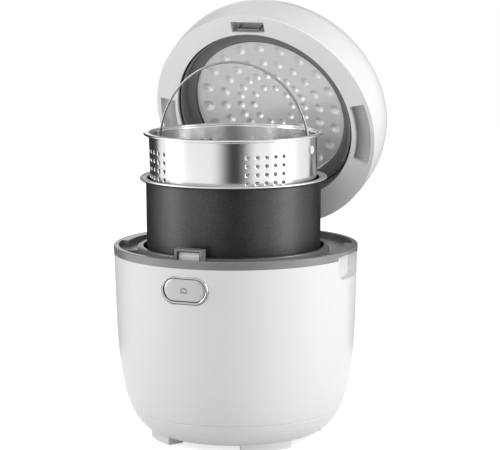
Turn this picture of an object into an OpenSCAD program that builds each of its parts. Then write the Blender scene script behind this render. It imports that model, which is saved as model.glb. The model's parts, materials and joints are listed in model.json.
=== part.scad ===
/* [Body] */
// Radius of the body at its rim
rim_r = 122; // [120:0.5:126]
// Height of the rim above the counter
rim_z = 194; // [186:1:210]
// How far the side draws in below the rim
waist = 4; // [2:0.5:6]
// How far the belly stands out past the rim
belly_out = 2; // [1:0.5:3]
// How far the shell's foot stands in from the rim
base_in = 44; // [40:1:46]
// Thickness of the moulded walls
wall = 2.6; // [2:0.1:3]
// Height of the joint between the shell and the base cover
seam_z = 31; // [28:1:36]
// Depth of the groove along that joint
seam_groove = 0.7; // [0.4:0.1:1]
// Height of the underside above the counter
foot_h = 5; // [4:0.5:7]
// Angle that each foot covers
foot_angle = 36; // [20:1:50]
// How far the feet reach in and out from the shell's foot
foot_in = 10; // [8:1:12]
foot_out = 8; // [6:1:10]

/* [Rim frame] */
// Height of the grey band round the rim
band_h = 8; // [6:0.5:10]
// Width of the frame's outer lip
lip_w = 5; // [4:0.5:6]
// Depth of the channel floor below the rim
floor_drop = 6; // [5:0.5:7]
// Extra depth of the channel's front stretch
trough_drop = 3; // [2:0.5:4]
// Thickness of the channel floor
floor_t = 2.4; // [2:0.2:3]
// Wall thickness of the collar round the pot well
collar_t = 4.4; // [3.5:0.1:5]

/* [Side grips] */
// Direction of the grips from the front
grip_az = 95; // [90:1:100]
// Width of each grip recess
grip_w = 66; // [56:1:72]
// Height of each grip recess below the rim
grip_h = 28; // [24:1:34]
// Depth of each grip recess
grip_d = 10; // [7:0.5:12]
// Corner radius of the recess's lower edge
grip_round = 13; // [8:1:14]
// Height of the band over a grip
grip_band = 4; // [3:0.5:5]

/* [Inner pot] */
// How far the pot's rolled rim stands out from its wall
pot_flange = 6.2; // [5:0.1:8]
// Depth of the pot outside, from the middle of its rim
pot_h = 105; // [95:1:110]
// Thickness of the pot's wall
pot_t = 1.5; // [1.2:0.1:1.8]
// Gap between the pot's rim and the gasket's outer edge
pot_rim_gap = 0.8; // [0.5:0.1:1.5]
// Radius of the rolled bead
pot_bead = 1.6; // [1.3:0.1:1.8]
// Inset of the foot of the wall
pot_taper = 0.6; // [0.3:0.1:0.8]
// Radius of the pot's lower corner
pot_corner = 14; // [10:1:18]
// Distance of the pot's axis in front of the body's
pot_shift = 5; // [4:0.5:6]
// Height of the seated pot's rim above the body's
pot_seat = 1.5; // [1:0.1:2]
// How far the pot stands raised at rest
pot_raise = 65.5; // [55:0.5:66]
// Radius of the coined centre under the floor, and its depth
coin_r = 18; // [16:1:22]
coin_d = 1.4; // [1:0.1:1.6]

/* [Steaming basket] */
// Gap between the basket's wall and the pot's
basket_gap = 1.5; // [1.2:0.1:2.5]
// Thickness of its sheet
basket_t = 0.8; // [0.6:0.1:1]
// How far the basket's rim stands out from its wall
basket_flange = 5.2; // [4:0.1:6]
// Radius of the rim's bead
basket_bead = 1.3; // [1:0.1:1.4]
// Depth of the basket from the middle of its rim
basket_h = 84; // [70:1:88]
// Inset of the foot of the wall
basket_taper = 2; // [1:0.5:3]
// Radius of the lower corner
basket_corner = 8; // [6:1:12]
// Height of its rim above the pot's, seated
basket_seat = 2.5; // [2.3:0.1:3]
// How far the basket stands raised out of the pot at rest
basket_raise = 41.7; // [35:0.1:42]
// Radius of a drain hole
hole_r = 1.8; // [1.6:0.1:2.2]
// Columns and rows of holes in each of the four side groups
hole_cols = 5; // [3:1:5]
hole_rows = 6; // [4:1:6]
// Angle between columns, and height between rows
hole_step_a = 6.6; // [6:0.1:7]
hole_step_z = 8.4; // [7:0.1:9]
// Depth of the first row below the rim
hole_first = 16; // [14:1:20]
// Rings of holes in the floor
floor_rings = 5; // [3:1:5]
// Distance between those rings
floor_step = 13; // [11:0.5:14]

/* [Basket handle] */
// Radius of the wire
wire_r = 1.2; // [1:0.1:1.6]
// Height of the arch's middle above the pivot
handle_h = 83.5; // [80:0.5:85]
// Depth of the pivot below the basket's rim
pivot_drop = 13.5; // [13:0.5:18]
// Radius of the rivets' shanks
rivet_r = 2; // [1.8:0.1:2.4]
// Thickness of the wire's flattened eyes
eye_t = 2; // [1.6:0.1:2.4]

/* [Lid] */
// How far the lid's edge stands in from the rim
lid_in = 2.5; // [2:0.5:4]
// Height of the dome above the rim
dome_h = 70; // [60:0.5:72]
// How far out the dome's lower curve handle points, and how wide its top is, as a share of the lid
dome_bulge = 8.2; // [6:0.1:10]
dome_top = 0.85; // [0.7:0.01:0.9]
// Thickness of the lid's flange
flange_t = 2; // [1.6:0.1:2.4]
// Gap between the closed lid and the frame
lid_gap = 0.3; // [0.2:0.05:0.5]
// Angle to which the lid stands open at rest
open_angle = 67.5; // [60:0.5:70]
// How far the hinge line stands in from the rim
hinge_in = 1; // [0:0.5:2]
hinge_up = 3.7; // [3:0.1:4.5]
// How far the lid's screws stand in from the gasket's opening
screw_in = 11.3; // [10:0.1:14]
// Angle that a pocket over a side grip takes up, and its distances from the inner lid and the edge
pocket_a = 35; // [30:1:38]
pocket_in = 3.5; // [3:0.5:6]
pocket_out = 4.2; // [4:0.1:6]
// Radius of the hinge knuckles, and of their pin
knuckle_r = 6; // [5.5:0.1:6.4]
pin_r = 2; // [1.6:0.1:2.4]
// Half the width of the lid's knuckle, and of the whole hinge
lid_knuckle_x = 18; // [14:1:20]
hinge_x = 31; // [27:1:34]

/* [Inner lid] */
// Width of the lid's underside outside the inner lid
flange_w = 26.5; // [26:0.5:28]
// Height of the gasket's face above the rim, on the pot's axis
ring_up = 16.3; // [15:0.1:18]
// Lean of the inner lid, so that water runs to the hinge side
inner_tilt = 4; // [3.5:0.1:5]
// Gap between the gasket and the edge of the inner lid
gasket_gap = 1.5; // [1.2:0.1:2]
gasket_w = 12.7; // [11:0.1:14]
// Thickness of the gasket
gasket_t = 3; // [2.5:0.1:3.5]
// Height of the plate's edge, and of its middle, behind the gasket's face
plate_edge = 5.6; // [5:0.2:9]
plate_mid = 14; // [12:0.5:15]
// Thickness of the plate
plate_t = 1.6; // [1.2:0.1:1.8]
// Rings of dimples: radius, count
DIMPLES = [[70.6, 20], [52.3, 20], [35.6, 20], [21.3, 10]];
// Radius of an outer dimple's mouth, and of an inner one's
dimple_big = 4.6; // [3.5:0.1:5]
dimple_small = 3; // [2.4:0.1:3.6]
// Depth of the dimples
dimple_d = 1; // [0.6:0.1:1.1]
// Half angle of the gasket's steam gap on the hinge side
lip_gap = 58; // [55:1:70]

/* [Latch and button] */
// Width, height and rise of the open button's surround
bezel_w = 49; // [44:1:52]
bezel_h = 27; // [24:1:30]
bezel_rise = 0.9; // [0.5:0.1:1.4]
// Width of the surround's visible face
bezel_face = 2.2; // [2:0.1:4]
// Depth of the button's centre below the rim
button_drop = 28.8; // [26:0.2:32]
// Half the width of the latch housing, and its rise above the rim
latch_x = 14.5; // [13.5:0.5:16]
latch_rise = 9.2; // [8:0.1:10]
// Half the width of the hook
hook_x = 10.6; // [9:0.1:11.5]
// Depth of the latch's pivot below the rim
latch_pivot_drop = 14; // [13:0.5:16]
// Radius of the latch pin
latch_pin_r = 1.5; // [1.2:0.1:1.8]

/* [Heating] */
// How far the heater plate's edge stands in from the pot's wall
heater_in = 18; // [16:1:22]
heater_t = 9; // [8:0.5:10]
// How far the element's ring stands in from the heater's edge
element_in = 21; // [19:1:24]
element_tube = 3.6; // [3:0.1:4]
// Radius of the sensor that touches the pot
sensor_r = 14; // [12:0.5:15]
// Height of the sensor's housing
sensor_housing_h = 22; // [20:1:26]
// How far the heater's posts stand in from its edge
post_in = 9; // [8:0.5:10]

/* [Fits] */
// Gap at a loose seat
seat_gap = 0.3; // [0.2:0.05:0.5]
// Running clearance of pins in their bores
run_gap = 0.06; // [0.02:0.01:0.1]
// Clearance round a sliding part
slide_gap = 0.3; // [0.2:0.05:0.4]

/* [Hidden] */
$fn = 96;

// Heights that follow from the sizes above
belly_r = rim_r + belly_out;
base_r = rim_r - base_in;
foot_ri = base_r - foot_in;
foot_ro = base_r + foot_out;
lid_r = rim_r - lid_in;
hinge_y = rim_r - hinge_in;
pan_r = rim_r - flange_w;
gasket_ro = pan_r - gasket_gap;
gasket_ri = gasket_ro - gasket_w;
pot_rim_r = gasket_ro - pot_rim_gap;
pot_r = pot_rim_r - pot_flange;
basket_r = pot_r - pot_t - basket_gap;
basket_rim_r = basket_r + basket_flange;
heater_r = pot_r - heater_in;
element_r = heater_r - element_in;
post_at = heater_r - post_in;
hinge_z = rim_z + hinge_up;
pot_y = -pot_shift;
pot_rim_seated = rim_z + pot_seat;
pot_floor_seated = pot_rim_seated - pot_h;
pot_rim_z = pot_rim_seated + pot_raise;
basket_rim_z = pot_rim_z + basket_seat + basket_raise;
pivot_z = basket_rim_z - pivot_drop;
heater_top = pot_floor_seated - seat_gap;
heater_bottom = heater_top - heater_t;
button_z = rim_z - button_drop;
latch_pivot_z = rim_z - latch_pivot_drop;

// The well and its collar
liner_t = 0.7;
liner_ri = pot_r + 3.3;
collar_ri = liner_ri + liner_t + 0.1;
collar_ro = collar_ri + collar_t;
collar_top = pot_rim_seated - pot_bead - seat_gap - liner_t;
channel_z = rim_z - floor_drop;
well_floor = heater_top - 6;

// Where the latch stands between the collar and the lip
latch_back = -pot_shift - pan_r - 1.6;
latch_wall = 1.2;
latch_roof = 1.8;
latch_front = latch_back - 8.6;
latch_pivot_y = latch_back - 4.4;
hook_back = latch_back - latch_wall - 2.6;
hook_t = 2.8;
slot_x = latch_x + 3.5;
slot_front = latch_front - 2.4;

// ---------- helpers ----------
function bez(a, b, c, d, t) =
    a*pow(1 - t, 3) + 3*b*pow(1 - t, 2)*t + 3*c*(1 - t)*t*t + d*pow(t, 3);

// Point on the body's side, from the rim (t = 0) to the underside (t = 1), drawn in by inset
function body_pt(t, inset = 0) = bez(
    [rim_r - inset, rim_z],
    [rim_r - waist - inset, rim_z*0.56],
    [belly_r - inset, rim_z*0.075 + inset],
    [base_r, foot_h + inset], t);
BODY_STEPS = 48;
function body_curve(inset) = [for (i = [0:BODY_STEPS]) body_pt(i/BODY_STEPS, inset)];
function body_r(z, inset = 0) = lookup(z, [for (p = body_curve(inset)) [p[1], p[0]]]);
function below(points, z) = [for (p = points) if (p[1] < z - 0.4) p];
function between(points, z0, z1) = [for (p = points) if (p[1] > z0 + 0.4 && p[1] < z1 - 0.4) p];
function reversed(v) = [for (i = [len(v) - 1:-1:0]) v[i]];

// Point on the lid's dome, from its edge (t = 0) to its top (t = 1)
function dome_pt(t, inset = 0) = bez(
    [lid_r - inset, rim_z + lid_gap + flange_t],
    [lid_r + dome_bulge - inset, rim_z + dome_h - inset/2],
    [lid_r*dome_top - inset, rim_z + dome_h - inset],
    [0, rim_z + dome_h - inset], t);
DOME_STEPS = 32;
function dome_curve(inset) = [for (i = [0:DOME_STEPS]) dome_pt(i/DOME_STEPS, inset)];

module solid_of(points) rotate_extrude() polygon(points);
module yz_extrude(x0, x1) translate([x0, 0, 0]) rotate([90, 0, 90]) linear_extrude(x1 - x0) children();
module xz_extrude(y0, y1) translate([0, y1, 0]) rotate([90, 0, 0]) linear_extrude(y1 - y0) children();
module box(lo, hi) translate(lo) cube(hi - lo);
module rod_x(x0, x1, y, z, r) translate([x0, y, z]) rotate([0, 90, 0]) cylinder(r = r, h = x1 - x0);
module ring(ro, ri, z0, z1) difference() {
    translate([0, 0, z0]) cylinder(r = ro, h = z1 - z0);
    translate([0, 0, z0 - 1]) cylinder(r = ri, h = z1 - z0 + 2);
}
module on_pot_axis() translate([0, pot_y, 0]) children();
module both_sides() { children(); mirror([1, 0, 0]) children(); }

// A slot with round ends, w wide along X and h high along Z
module stadium(w, h) {
    square([w - h, h], center = true);
    for (s = [-1, 1]) translate([s*(w - h)/2, 0]) circle(h/2);
}

// A coil of round wire about Z, from z = 0 upwards
module coil(r, wire, turns, length) {
    n = 16;
    m = 6;
    last = turns*n;
    pitch = length/turns;
    points = [for (i = [0:last]) for (j = [0:m - 1])
        let (a = 360*i/n, b = 360*j/m, rr = r + wire*cos(b))
        [rr*cos(a), rr*sin(a), pitch*i/n + wire*sin(b)]];
    sides = [for (i = [0:last - 1]) for (j = [0:m - 1])
        let (k = (j + 1) % m) each [[i*m + j, i*m + k, (i + 1)*m + k],
            [i*m + j, (i + 1)*m + k, (i + 1)*m + j]]];
    polyhedron(points, concat([[for (j = [m - 1:-1:0]) j]], sides, [[for (j = [0:m - 1]) last*m + j]]));
}

// Places what is drawn as if the lid were shut
module lid_at_rest() translate([0, hinge_y, hinge_z]) rotate([-open_angle, 0, 0])
    translate([0, -hinge_y, -hinge_z]) children();
// The inner lid's own frame: its gasket's face is z = 0, and its back is up
module inner_lid_frame() translate([0, pot_y, rim_z + ring_up]) rotate([inner_tilt, 0, 0]) children();

// ---------- body ----------
// What a side grip takes away, grown by grow on every side
module grip_cut(grow) for (s = [-1, 1]) rotate([0, 0, -90 + s*grip_az]) difference() {
    intersection() {
        rotate([90, 0, 90]) linear_extrude(rim_r + 20) union() {
            translate([-grip_w/2 - grow, rim_z - grip_h + grip_round])
                square([grip_w + 2*grow, grip_h]);
            translate([-grip_w/2 + grip_round, rim_z - grip_h - grow])
                square([grip_w - 2*grip_round, grip_h]);
            for (q = [-1, 1]) translate([q*(grip_w/2 - grip_round), rim_z - grip_h + grip_round])
                circle(grip_round + grow);
        }
        translate([0, 0, rim_z - grip_h - 10]) cylinder(r = rim_r + 12, h = grip_h + 30);
    }
    translate([0, 0, rim_z - grip_h - 20]) cylinder(r = rim_r - grip_d - grow, h = grip_h + 60);
}

module hinge_block_space(grow) box(
    [-hinge_x - grow, hinge_y - knuckle_r - 3 - grow, rim_z - 24 - grow],
    [hinge_x + grow, hinge_y + knuckle_r + 8, rim_z + 30]);

inlet_z = 58;
inlet_w = 34;
inlet_h = 26;
inlet_depth = 24;
inlet_face = body_r(inlet_z) + 1.2;

module shell_solid() solid_of(concat([[0, seam_z], [body_r(seam_z), seam_z]],
    reversed(between(body_curve(0), seam_z, rim_z - band_h)),
    [[body_r(rim_z - band_h), rim_z - band_h], [0, rim_z - band_h]]));
module outer_shell() color("white") difference() {
    shell_solid();
    difference() {
        solid_of(concat([[0, seam_z - 1], [body_r(seam_z, wall), seam_z - 1]],
            reversed(between(body_curve(wall), seam_z, rim_z - band_h)),
            [[body_r(rim_z - band_h, wall), rim_z - band_h + 1], [0, rim_z - band_h + 1]]));
        grip_cut(wall);
    }
    grip_cut(0);
    hinge_block_space(slide_gap);
    xz_extrude(-rim_r - 5, -rim_r/2) translate([0, button_z])
        stadium(bezel_w - 3, bezel_h - 3);
    box([-inlet_w/2, rim_r/2, inlet_z - inlet_h/2], [inlet_w/2, rim_r + 5, inlet_z + inlet_h/2]);
}

module base_solid() solid_of(concat([[0, seam_z], [body_r(seam_z) - seam_groove, seam_z],
    [body_r(seam_z) - seam_groove, seam_z - 0.8]], below(body_curve(0), seam_z - 0.8), [[0, foot_h]]));

post_angles = [90, 210, 330];
board_z = 36;
board_x = 38;
board_y = [-58, 38];
board_holes = [for (x = [-1, 1]) for (y = board_y) [x*(board_x - 5), y - 5*sign(y)]];
vents = 18;
module base_cover() color("gainsboro") difference() {
    union() {
        difference() {
            base_solid();
            solid_of(concat([[0, seam_z + 1], [body_r(seam_z, wall), seam_z + 1],
                [body_r(seam_z, wall), seam_z]], below(body_curve(wall), seam_z), [[0, foot_h + wall]]));
        }
        for (p = board_holes) translate([p[0], p[1], foot_h + 1]) cylinder(r = 3, h = board_z - foot_h - 1);
        on_pot_axis() for (a = post_angles) rotate(a) translate([post_at, 0, foot_h + 1])
            cylinder(r = 5, h = seam_z - foot_h - 1);
    }
    on_pot_axis() for (a = post_angles) rotate(a) translate([post_at, 0, foot_h - 1]) {
        cylinder(r = 1.9, h = seam_z);
        cylinder(r = 4, h = 4);
    }
    for (i = [0:vents - 1]) rotate(i*360/vents) translate([28, -1.5, foot_h - 1]) cube([18, 3, wall + 2]);
}

module feet() color("lightgray") difference() {
    for (a = [45:90:315]) rotate(a - foot_angle/2) rotate_extrude(angle = foot_angle)
        translate([foot_ri, 0]) square([foot_ro - foot_ri, foot_h + 8]);
    base_solid();
}

module base_screws() color("silver") on_pot_axis() for (a = post_angles) rotate(a) translate([post_at, 0, 0]) {
    translate([0, 0, foot_h + 0.6]) cylinder(r = 3.4, h = 2.4);
    translate([0, 0, foot_h + 2.8]) cylinder(r = 1.5, h = seam_z - foot_h + 6);
}

plug_r = body_r(channel_z - floor_t - trough_drop, wall) - 0.02;
module top_frame() color("gray") difference() {
    union() {
        // lip and band
        solid_of([[rim_r - lip_w, channel_z], [rim_r - lip_w, rim_z], [rim_r - 0.6, rim_z],
            [rim_r, rim_z - 0.6],
            [body_r(rim_z - band_h), rim_z - band_h], [plug_r, rim_z - band_h],
            [plug_r, channel_z - floor_t - trough_drop],
            [rim_r - lip_w - 4, channel_z - floor_t - trough_drop]]);
        // channel floor, thick enough for the front trough
        translate([0, 0, channel_z - floor_t - trough_drop])
            cylinder(r = rim_r - lip_w + 0.5, h = floor_t + trough_drop);
        // roofs of the side grips
        intersection() {
            grip_cut(wall);
            translate([0, 0, channel_z - floor_t])
                cylinder(r = rim_r - lip_w + 1, h = rim_z - channel_z + floor_t);
        }
        on_pot_axis() translate([0, 0, channel_z - 1]) cylinder(r = collar_ro, h = collar_top - channel_z + 1);
        box([-latch_x, latch_front, channel_z - trough_drop - 1], [latch_x, latch_back, rim_z + latch_rise]);
    }
    on_pot_axis() translate([0, 0, rim_z - 40]) cylinder(r = collar_ri, h = 60);
    // front trough
    difference() {
        rotate(-90 - 62) rotate_extrude(angle = 124) translate([collar_ri, channel_z - trough_drop])
            square([rim_r - lip_w - collar_ri, trough_drop + 1]);
        on_pot_axis() translate([0, 0, rim_z - 40]) cylinder(r = collar_ro, h = 60);
        box([-latch_x, latch_front, rim_z - 40], [latch_x, latch_back, rim_z]);
    }
    // hollow of the latch housing, open at the front
    box([-latch_x + 2.2, latch_front - 1, channel_z - trough_drop],
        [latch_x - 2.2, latch_back - latch_wall, rim_z + latch_rise - latch_roof]);
    box([-latch_x + 2.2, hook_back - 0.4, rim_z], [latch_x - 2.2, latch_back - latch_wall, rim_z + 20]);
    box([-hook_x - 1, slot_front + 0.6, rim_z - 40], [hook_x + 1, latch_back - latch_wall - 0.4, rim_z]);
    // the band is cut away over the grips
    difference() {
        grip_cut(0);
        translate([0, 0, rim_z - grip_band]) cylinder(r = rim_r + 20, h = 40);
    }
    // the shell's grip walls stand in the frame's underside
    intersection() {
        grip_cut(wall + 0.05);
        translate([0, 0, rim_z - 60]) cylinder(r = rim_r + 20, h = 60 - band_h);
    }
    hinge_block_space(slide_gap);
}

module well_liner() color("silver") on_pot_axis() union() {
    ring(liner_ri + liner_t, liner_ri, well_floor, collar_top + liner_t);
    ring(liner_ri + 4, liner_ri, collar_top, collar_top + liner_t);
    ring(liner_ri + liner_t, heater_r + 2.5, well_floor, well_floor + liner_t);
}

// ---------- heating ----------
module element_ring(r) translate([0, pot_y, heater_bottom]) rotate(15)
    rotate_extrude(angle = 330) translate([element_r, 0]) circle(r, $fn = 32);
module heating_plate() color("lightgray") difference() {
    on_pot_axis() solid_of([[sensor_r + 3, heater_bottom], [heater_r - 3, heater_bottom],
        [heater_r, heater_bottom + 3],
        [heater_r, heater_top - 1], [heater_r - 1, heater_top], [sensor_r + 3, heater_top]]);
    element_ring(element_tube);
    on_pot_axis() for (a = post_angles) rotate(a) translate([post_at, 0, heater_bottom - 1])
        cylinder(r = 2, h = 5);
}
module heating_element() color("dimgray") {
    element_ring(element_tube);
    on_pot_axis() for (a = [15, -15]) rotate(a) translate([element_r, 0, heater_bottom - 16])
        cylinder(r = 2, h = 14);
}
fuse_y = pot_y + element_r/2 + 6;
module thermal_fuse() color("white") {
    rod_x(-12, 12, fuse_y, heater_bottom - 3, 3);
    rod_x(-17, 17, fuse_y, heater_bottom - 3, 0.8);
}
module plate_posts() color("silver") on_pot_axis() for (a = post_angles) rotate(a) difference() {
    union() {
        translate([post_at, 0, seam_z]) cylinder(r = 4, h = heater_bottom - seam_z);
        translate([post_at, 0, heater_bottom - 1]) cylinder(r = 1.9, h = 4);
        // arm that carries the well
        box([post_at, -4, heater_bottom - 5], [liner_ri - 1, 4, heater_bottom - 2]);
        box([heater_r + 4, -4, heater_bottom - 2], [liner_ri - 1, 4, well_floor]);
    }
    translate([post_at, 0, seam_z - 1]) cylinder(r = 1.55, h = 14);
}
sensor_top = pot_floor_seated + coin_d - 0.4;
housing_top = heater_top - 2;
housing_floor = housing_top - sensor_housing_h;
module sensor_housing() color("silver") on_pot_axis() {
    ring(sensor_r + 2.6, sensor_r + 0.15, housing_floor, housing_top);
    ring(sensor_r + 2.6, 3, housing_floor - 1.2, housing_floor);
    for (a = post_angles) rotate(a) box([sensor_r + 1.5, -5, housing_floor],
        [post_at - 3.9, 5, housing_floor + 1.5]);
}
spring_bottom = housing_floor + 1;
module sensor_spring() color("silver") translate([0, pot_y, spring_bottom + 0.1])
    coil(sensor_r - 5, 0.7, 5, sensor_top - 2.2 - spring_bottom - 1.8);
module pot_sensor() color("silver") on_pot_axis() difference() {
    translate([0, 0, sensor_top - 14]) cylinder(r = sensor_r, h = 14);
    translate([0, 0, sensor_top - 15]) cylinder(r = sensor_r - 1.2, h = 13.8);
}

// ---------- electrics ----------
module power_board() color("darkgreen") difference() {
    box([-board_x, board_y[0], board_z], [board_x, board_y[1], board_z + 1.6]);
    for (p = board_holes) translate([p[0], p[1], board_z - 1]) cylinder(r = 1.6, h = 4);
}
board_top = board_z + 1.6;
// The board's blocks and cans keep their places as the board grows
board_k = board_x/38;
module block(x, y, w, d, h) translate([x*board_k, y*board_k, board_top]) cube([w, d, h]*board_k);
module board_parts() color("goldenrod") {
    block(-24, -50, 22, 20, 12);
    block(6, -50, 19, 15, 14);
    block(-20, 14, 20, 16, 9);
    for (x = [-18, -4, 10]) translate([x*board_k, -18*board_k, board_top])
        cylinder(r = 4.5*board_k, h = 11*board_k);
    translate([16*board_k, 20*board_k, board_top]) cylinder(r = 6*board_k, h = 13*board_k);
}
module power_inlet() color("black") difference() {
    union() {
        difference() {
            box([-inlet_w/2 - 4, inlet_face - 3.5, inlet_z - inlet_h/2 - 4],
                [inlet_w/2 + 4, inlet_face, inlet_z + inlet_h/2 + 4]);
            shell_solid();
        }
        box([-inlet_w/2 + 0.2, inlet_face - inlet_depth, inlet_z - inlet_h/2 + 0.2],
            [inlet_w/2 - 0.2, inlet_face - 0.5, inlet_z + inlet_h/2 - 0.2]);
    }
    box([-inlet_w/2 + 3, inlet_face - inlet_depth + 3, inlet_z - inlet_h/2 + 3],
        [inlet_w/2 - 3, inlet_face + 1, inlet_z + inlet_h/2 - 3]);
    for (x = [-7, 0, 7]) box([x - 1, inlet_face - inlet_depth - 1, inlet_z - 2],
        [x + 1, inlet_face - 18, inlet_z + 2]);
}
module inlet_pins() color("silver") for (x = [-7, 0, 7])
    box([x - 1, inlet_face - inlet_depth - 7, inlet_z - 2], [x + 1, inlet_face - 7, inlet_z + 2]);

// ---------- hinge ----------
bracket_h = 16;
module hinge_bracket() color("gray") difference() {
    union() {
        box([-hinge_x, hinge_y - knuckle_r - 3, rim_z - bracket_h - 8],
            [hinge_x, hinge_y + knuckle_r, rim_z - 8]);
        both_sides() {
            box([lid_knuckle_x + 0.5, hinge_y - knuckle_r, rim_z - 9], [hinge_x, hinge_y + knuckle_r, hinge_z]);
            rod_x(lid_knuckle_x + 0.5, hinge_x, hinge_y, hinge_z, knuckle_r);
        }
    }
    rod_x(-hinge_x - 1, hinge_x + 1, hinge_y, hinge_z, pin_r + 0.02);
}
module hinge_pin() color("silver") rod_x(-hinge_x + 1, hinge_x - 1, hinge_y, hinge_z, pin_r);
spring_half = 8;
module lid_spring() color("silver") translate([-spring_half + 1, hinge_y, hinge_z]) rotate([0, 90, 0])
    coil(pin_r + 1.3, 0.7, 6, 2*spring_half - 2);

// ---------- latch and button ----------
face_r = body_r(button_z);
bezel_depth = 9;
bezel_back = -face_r + bezel_depth;
module button_bezel() color("silver") difference() {
    union() {
        intersection() {
            xz_extrude(-rim_r - 5, -rim_r/2) translate([0, button_z]) stadium(bezel_w, bezel_h);
            difference() {
                translate([0, 0, button_z - 20]) cylinder(r = face_r + bezel_rise, h = 40);
                shell_solid();
            }
        }
        intersection() {
            xz_extrude(-rim_r - 5, bezel_back) translate([0, button_z]) stadium(bezel_w - 3.4, bezel_h - 3.4);
            translate([0, 0, button_z - 20]) cylinder(r = face_r + bezel_rise - 0.2, h = 40);
        }
    }
    xz_extrude(-rim_r - 6, -rim_r/2) translate([0, button_z])
        stadium(bezel_w - 2*bezel_face, bezel_h - 2*bezel_face);
}
button_back = -face_r + 5;
stem_end = latch_pivot_y - 1.5 - seat_gap;
module open_button() color("lightgray") {
    intersection() {
        xz_extrude(-rim_r - 5, button_back) translate([0, button_z])
            stadium(bezel_w - 2*bezel_face - 2*slide_gap, bezel_h - 2*bezel_face - 2*slide_gap);
        translate([0, 0, button_z - 20]) cylinder(r = face_r + bezel_rise - 0.3, h = 40);
    }
    translate([0, stem_end, button_z]) rotate([90, 0, 0]) cylinder(r = 3, h = stem_end - button_back + 1);
}
bracket_top = channel_z - floor_t - trough_drop;
ear_x = hook_x + 3.6;
module latch_bracket() color("dimgray") difference() {
    union() {
        box([-ear_x - 6, slot_front + 1, bracket_top - 2], [ear_x + 6, latch_back + 1, bracket_top]);
        both_sides() box([ear_x, latch_pivot_y - 4, latch_pivot_z - 4],
            [ear_x + 2.2, latch_pivot_y + 4, bracket_top]);
    }
    box([-ear_x, slot_front, bracket_top - 3], [ear_x, latch_back - 0.6, bracket_top + 1]);
    rod_x(-30, 30, latch_pivot_y, latch_pivot_z, latch_pin_r + 0.02);
}
module latch_pin() color("silver") rod_x(-ear_x - 2, ear_x + 2, latch_pivot_y, latch_pivot_z, latch_pin_r);
module latch_spring() color("silver") translate([hook_x + 0.8, latch_pivot_y, latch_pivot_z]) rotate([0, 90, 0])
    coil(latch_pin_r + 0.7, 0.4, 3, 2.2);
hook_top = rim_z + latch_rise - latch_roof - 1.8;
keeper_z = rim_z + 0.8;
keeper_h = 2.2;
module latch_hook() color("whitesmoke") difference() {
    union() {
        yz_extrude(-hook_x, hook_x) polygon([
            [latch_pivot_y - 1.6, latch_pivot_z], [hook_back - hook_t, latch_pivot_z + 6],
            [hook_back - hook_t, hook_top - 3.4], [hook_back - hook_t + 1.6, hook_top],
            [hook_back + 0.6, hook_top], [hook_back + 2, keeper_z + keeper_h + seat_gap + 1],
            [hook_back + 2, keeper_z + keeper_h + seat_gap], [hook_back, keeper_z + keeper_h + seat_gap],
            [hook_back, latch_pivot_z + 5], [latch_pivot_y + 3, latch_pivot_z]]);
        rod_x(-hook_x, hook_x, latch_pivot_y, latch_pivot_z, 3.2);
        box([-4, latch_pivot_y - 1.5, button_z - 4], [4, latch_pivot_y + 1.5, latch_pivot_z]);
    }
    rod_x(-30, 30, latch_pivot_y, latch_pivot_z, latch_pin_r + run_gap);
}

// ---------- lid, drawn shut ----------
module pan_shape(grow, drop) rotate_extrude() polygon([
    [0, drop], [pan_r + grow, drop], [pan_r + grow, 5 + grow], [pan_r - 10 + grow, 12.5 + grow],
    [62, plate_mid + 3.4 + grow], [0, plate_mid + 3.4 + grow]]);
module lid_hinge_space() rod_x(-hinge_x - 1.5, hinge_x + 1.5, hinge_y, hinge_z, knuckle_r + 1.4);
flange_z = rim_z + lid_gap;
panel_y = -46;
panel_w = 84;
panel_h = 42;
cap_y = 58;
cap_r = 17;
cap_hole_r = 13;
cap_seat = rim_z + dome_h - 3.6;
screw_spots = [for (a = [45:90:315]) [(gasket_ri - screw_in)*cos(a), (gasket_ri - screw_in)*sin(a) + pot_y]];
module dome_solid(inset, z0) solid_of(concat([[0, z0], [dome_pt(0, inset)[0], z0]], dome_curve(inset)));
module panel_prism(grow) translate([0, panel_y, rim_z]) linear_extrude(80)
    stadium(panel_w + 2*grow, panel_h + 2*grow);
module pan_ceiling_cut() inner_lid_frame() pan_shape(2.2, -60);

module lid_shell() color("white") lid_at_rest() difference() {
    union() {
        difference() {
            dome_solid(0, flange_z + flange_t);
            dome_solid(wall, flange_z);
        }
        intersection() {
            union() {
                for (p = screw_spots) translate([p[0], p[1], rim_z]) cylinder(r = 4, h = 80);
                translate([0, cap_y, cap_seat - 2]) cylinder(r = cap_r + 3, h = 20);
                both_sides() translate([panel_w/3 - 4, panel_y, control_z + 1.4]) cylinder(r = 3, h = 20);
            }
            dome_solid(1, flange_z);
        }
    }
    pan_ceiling_cut();
    for (p = screw_spots) translate([p[0], p[1], rim_z]) cylinder(r = 1.4, h = dome_h - 8);
    difference() { panel_prism(0.3); dome_solid(1.5, flange_z); }
    translate([0, panel_y, rim_z]) cylinder(r = 6, h = 80);
    translate([0, cap_y, cap_seat]) cylinder(r = cap_r + 0.4, h = 30);
    translate([0, cap_y, rim_z]) cylinder(r = cap_hole_r, h = 80);
    lid_hinge_space();
}
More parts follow.
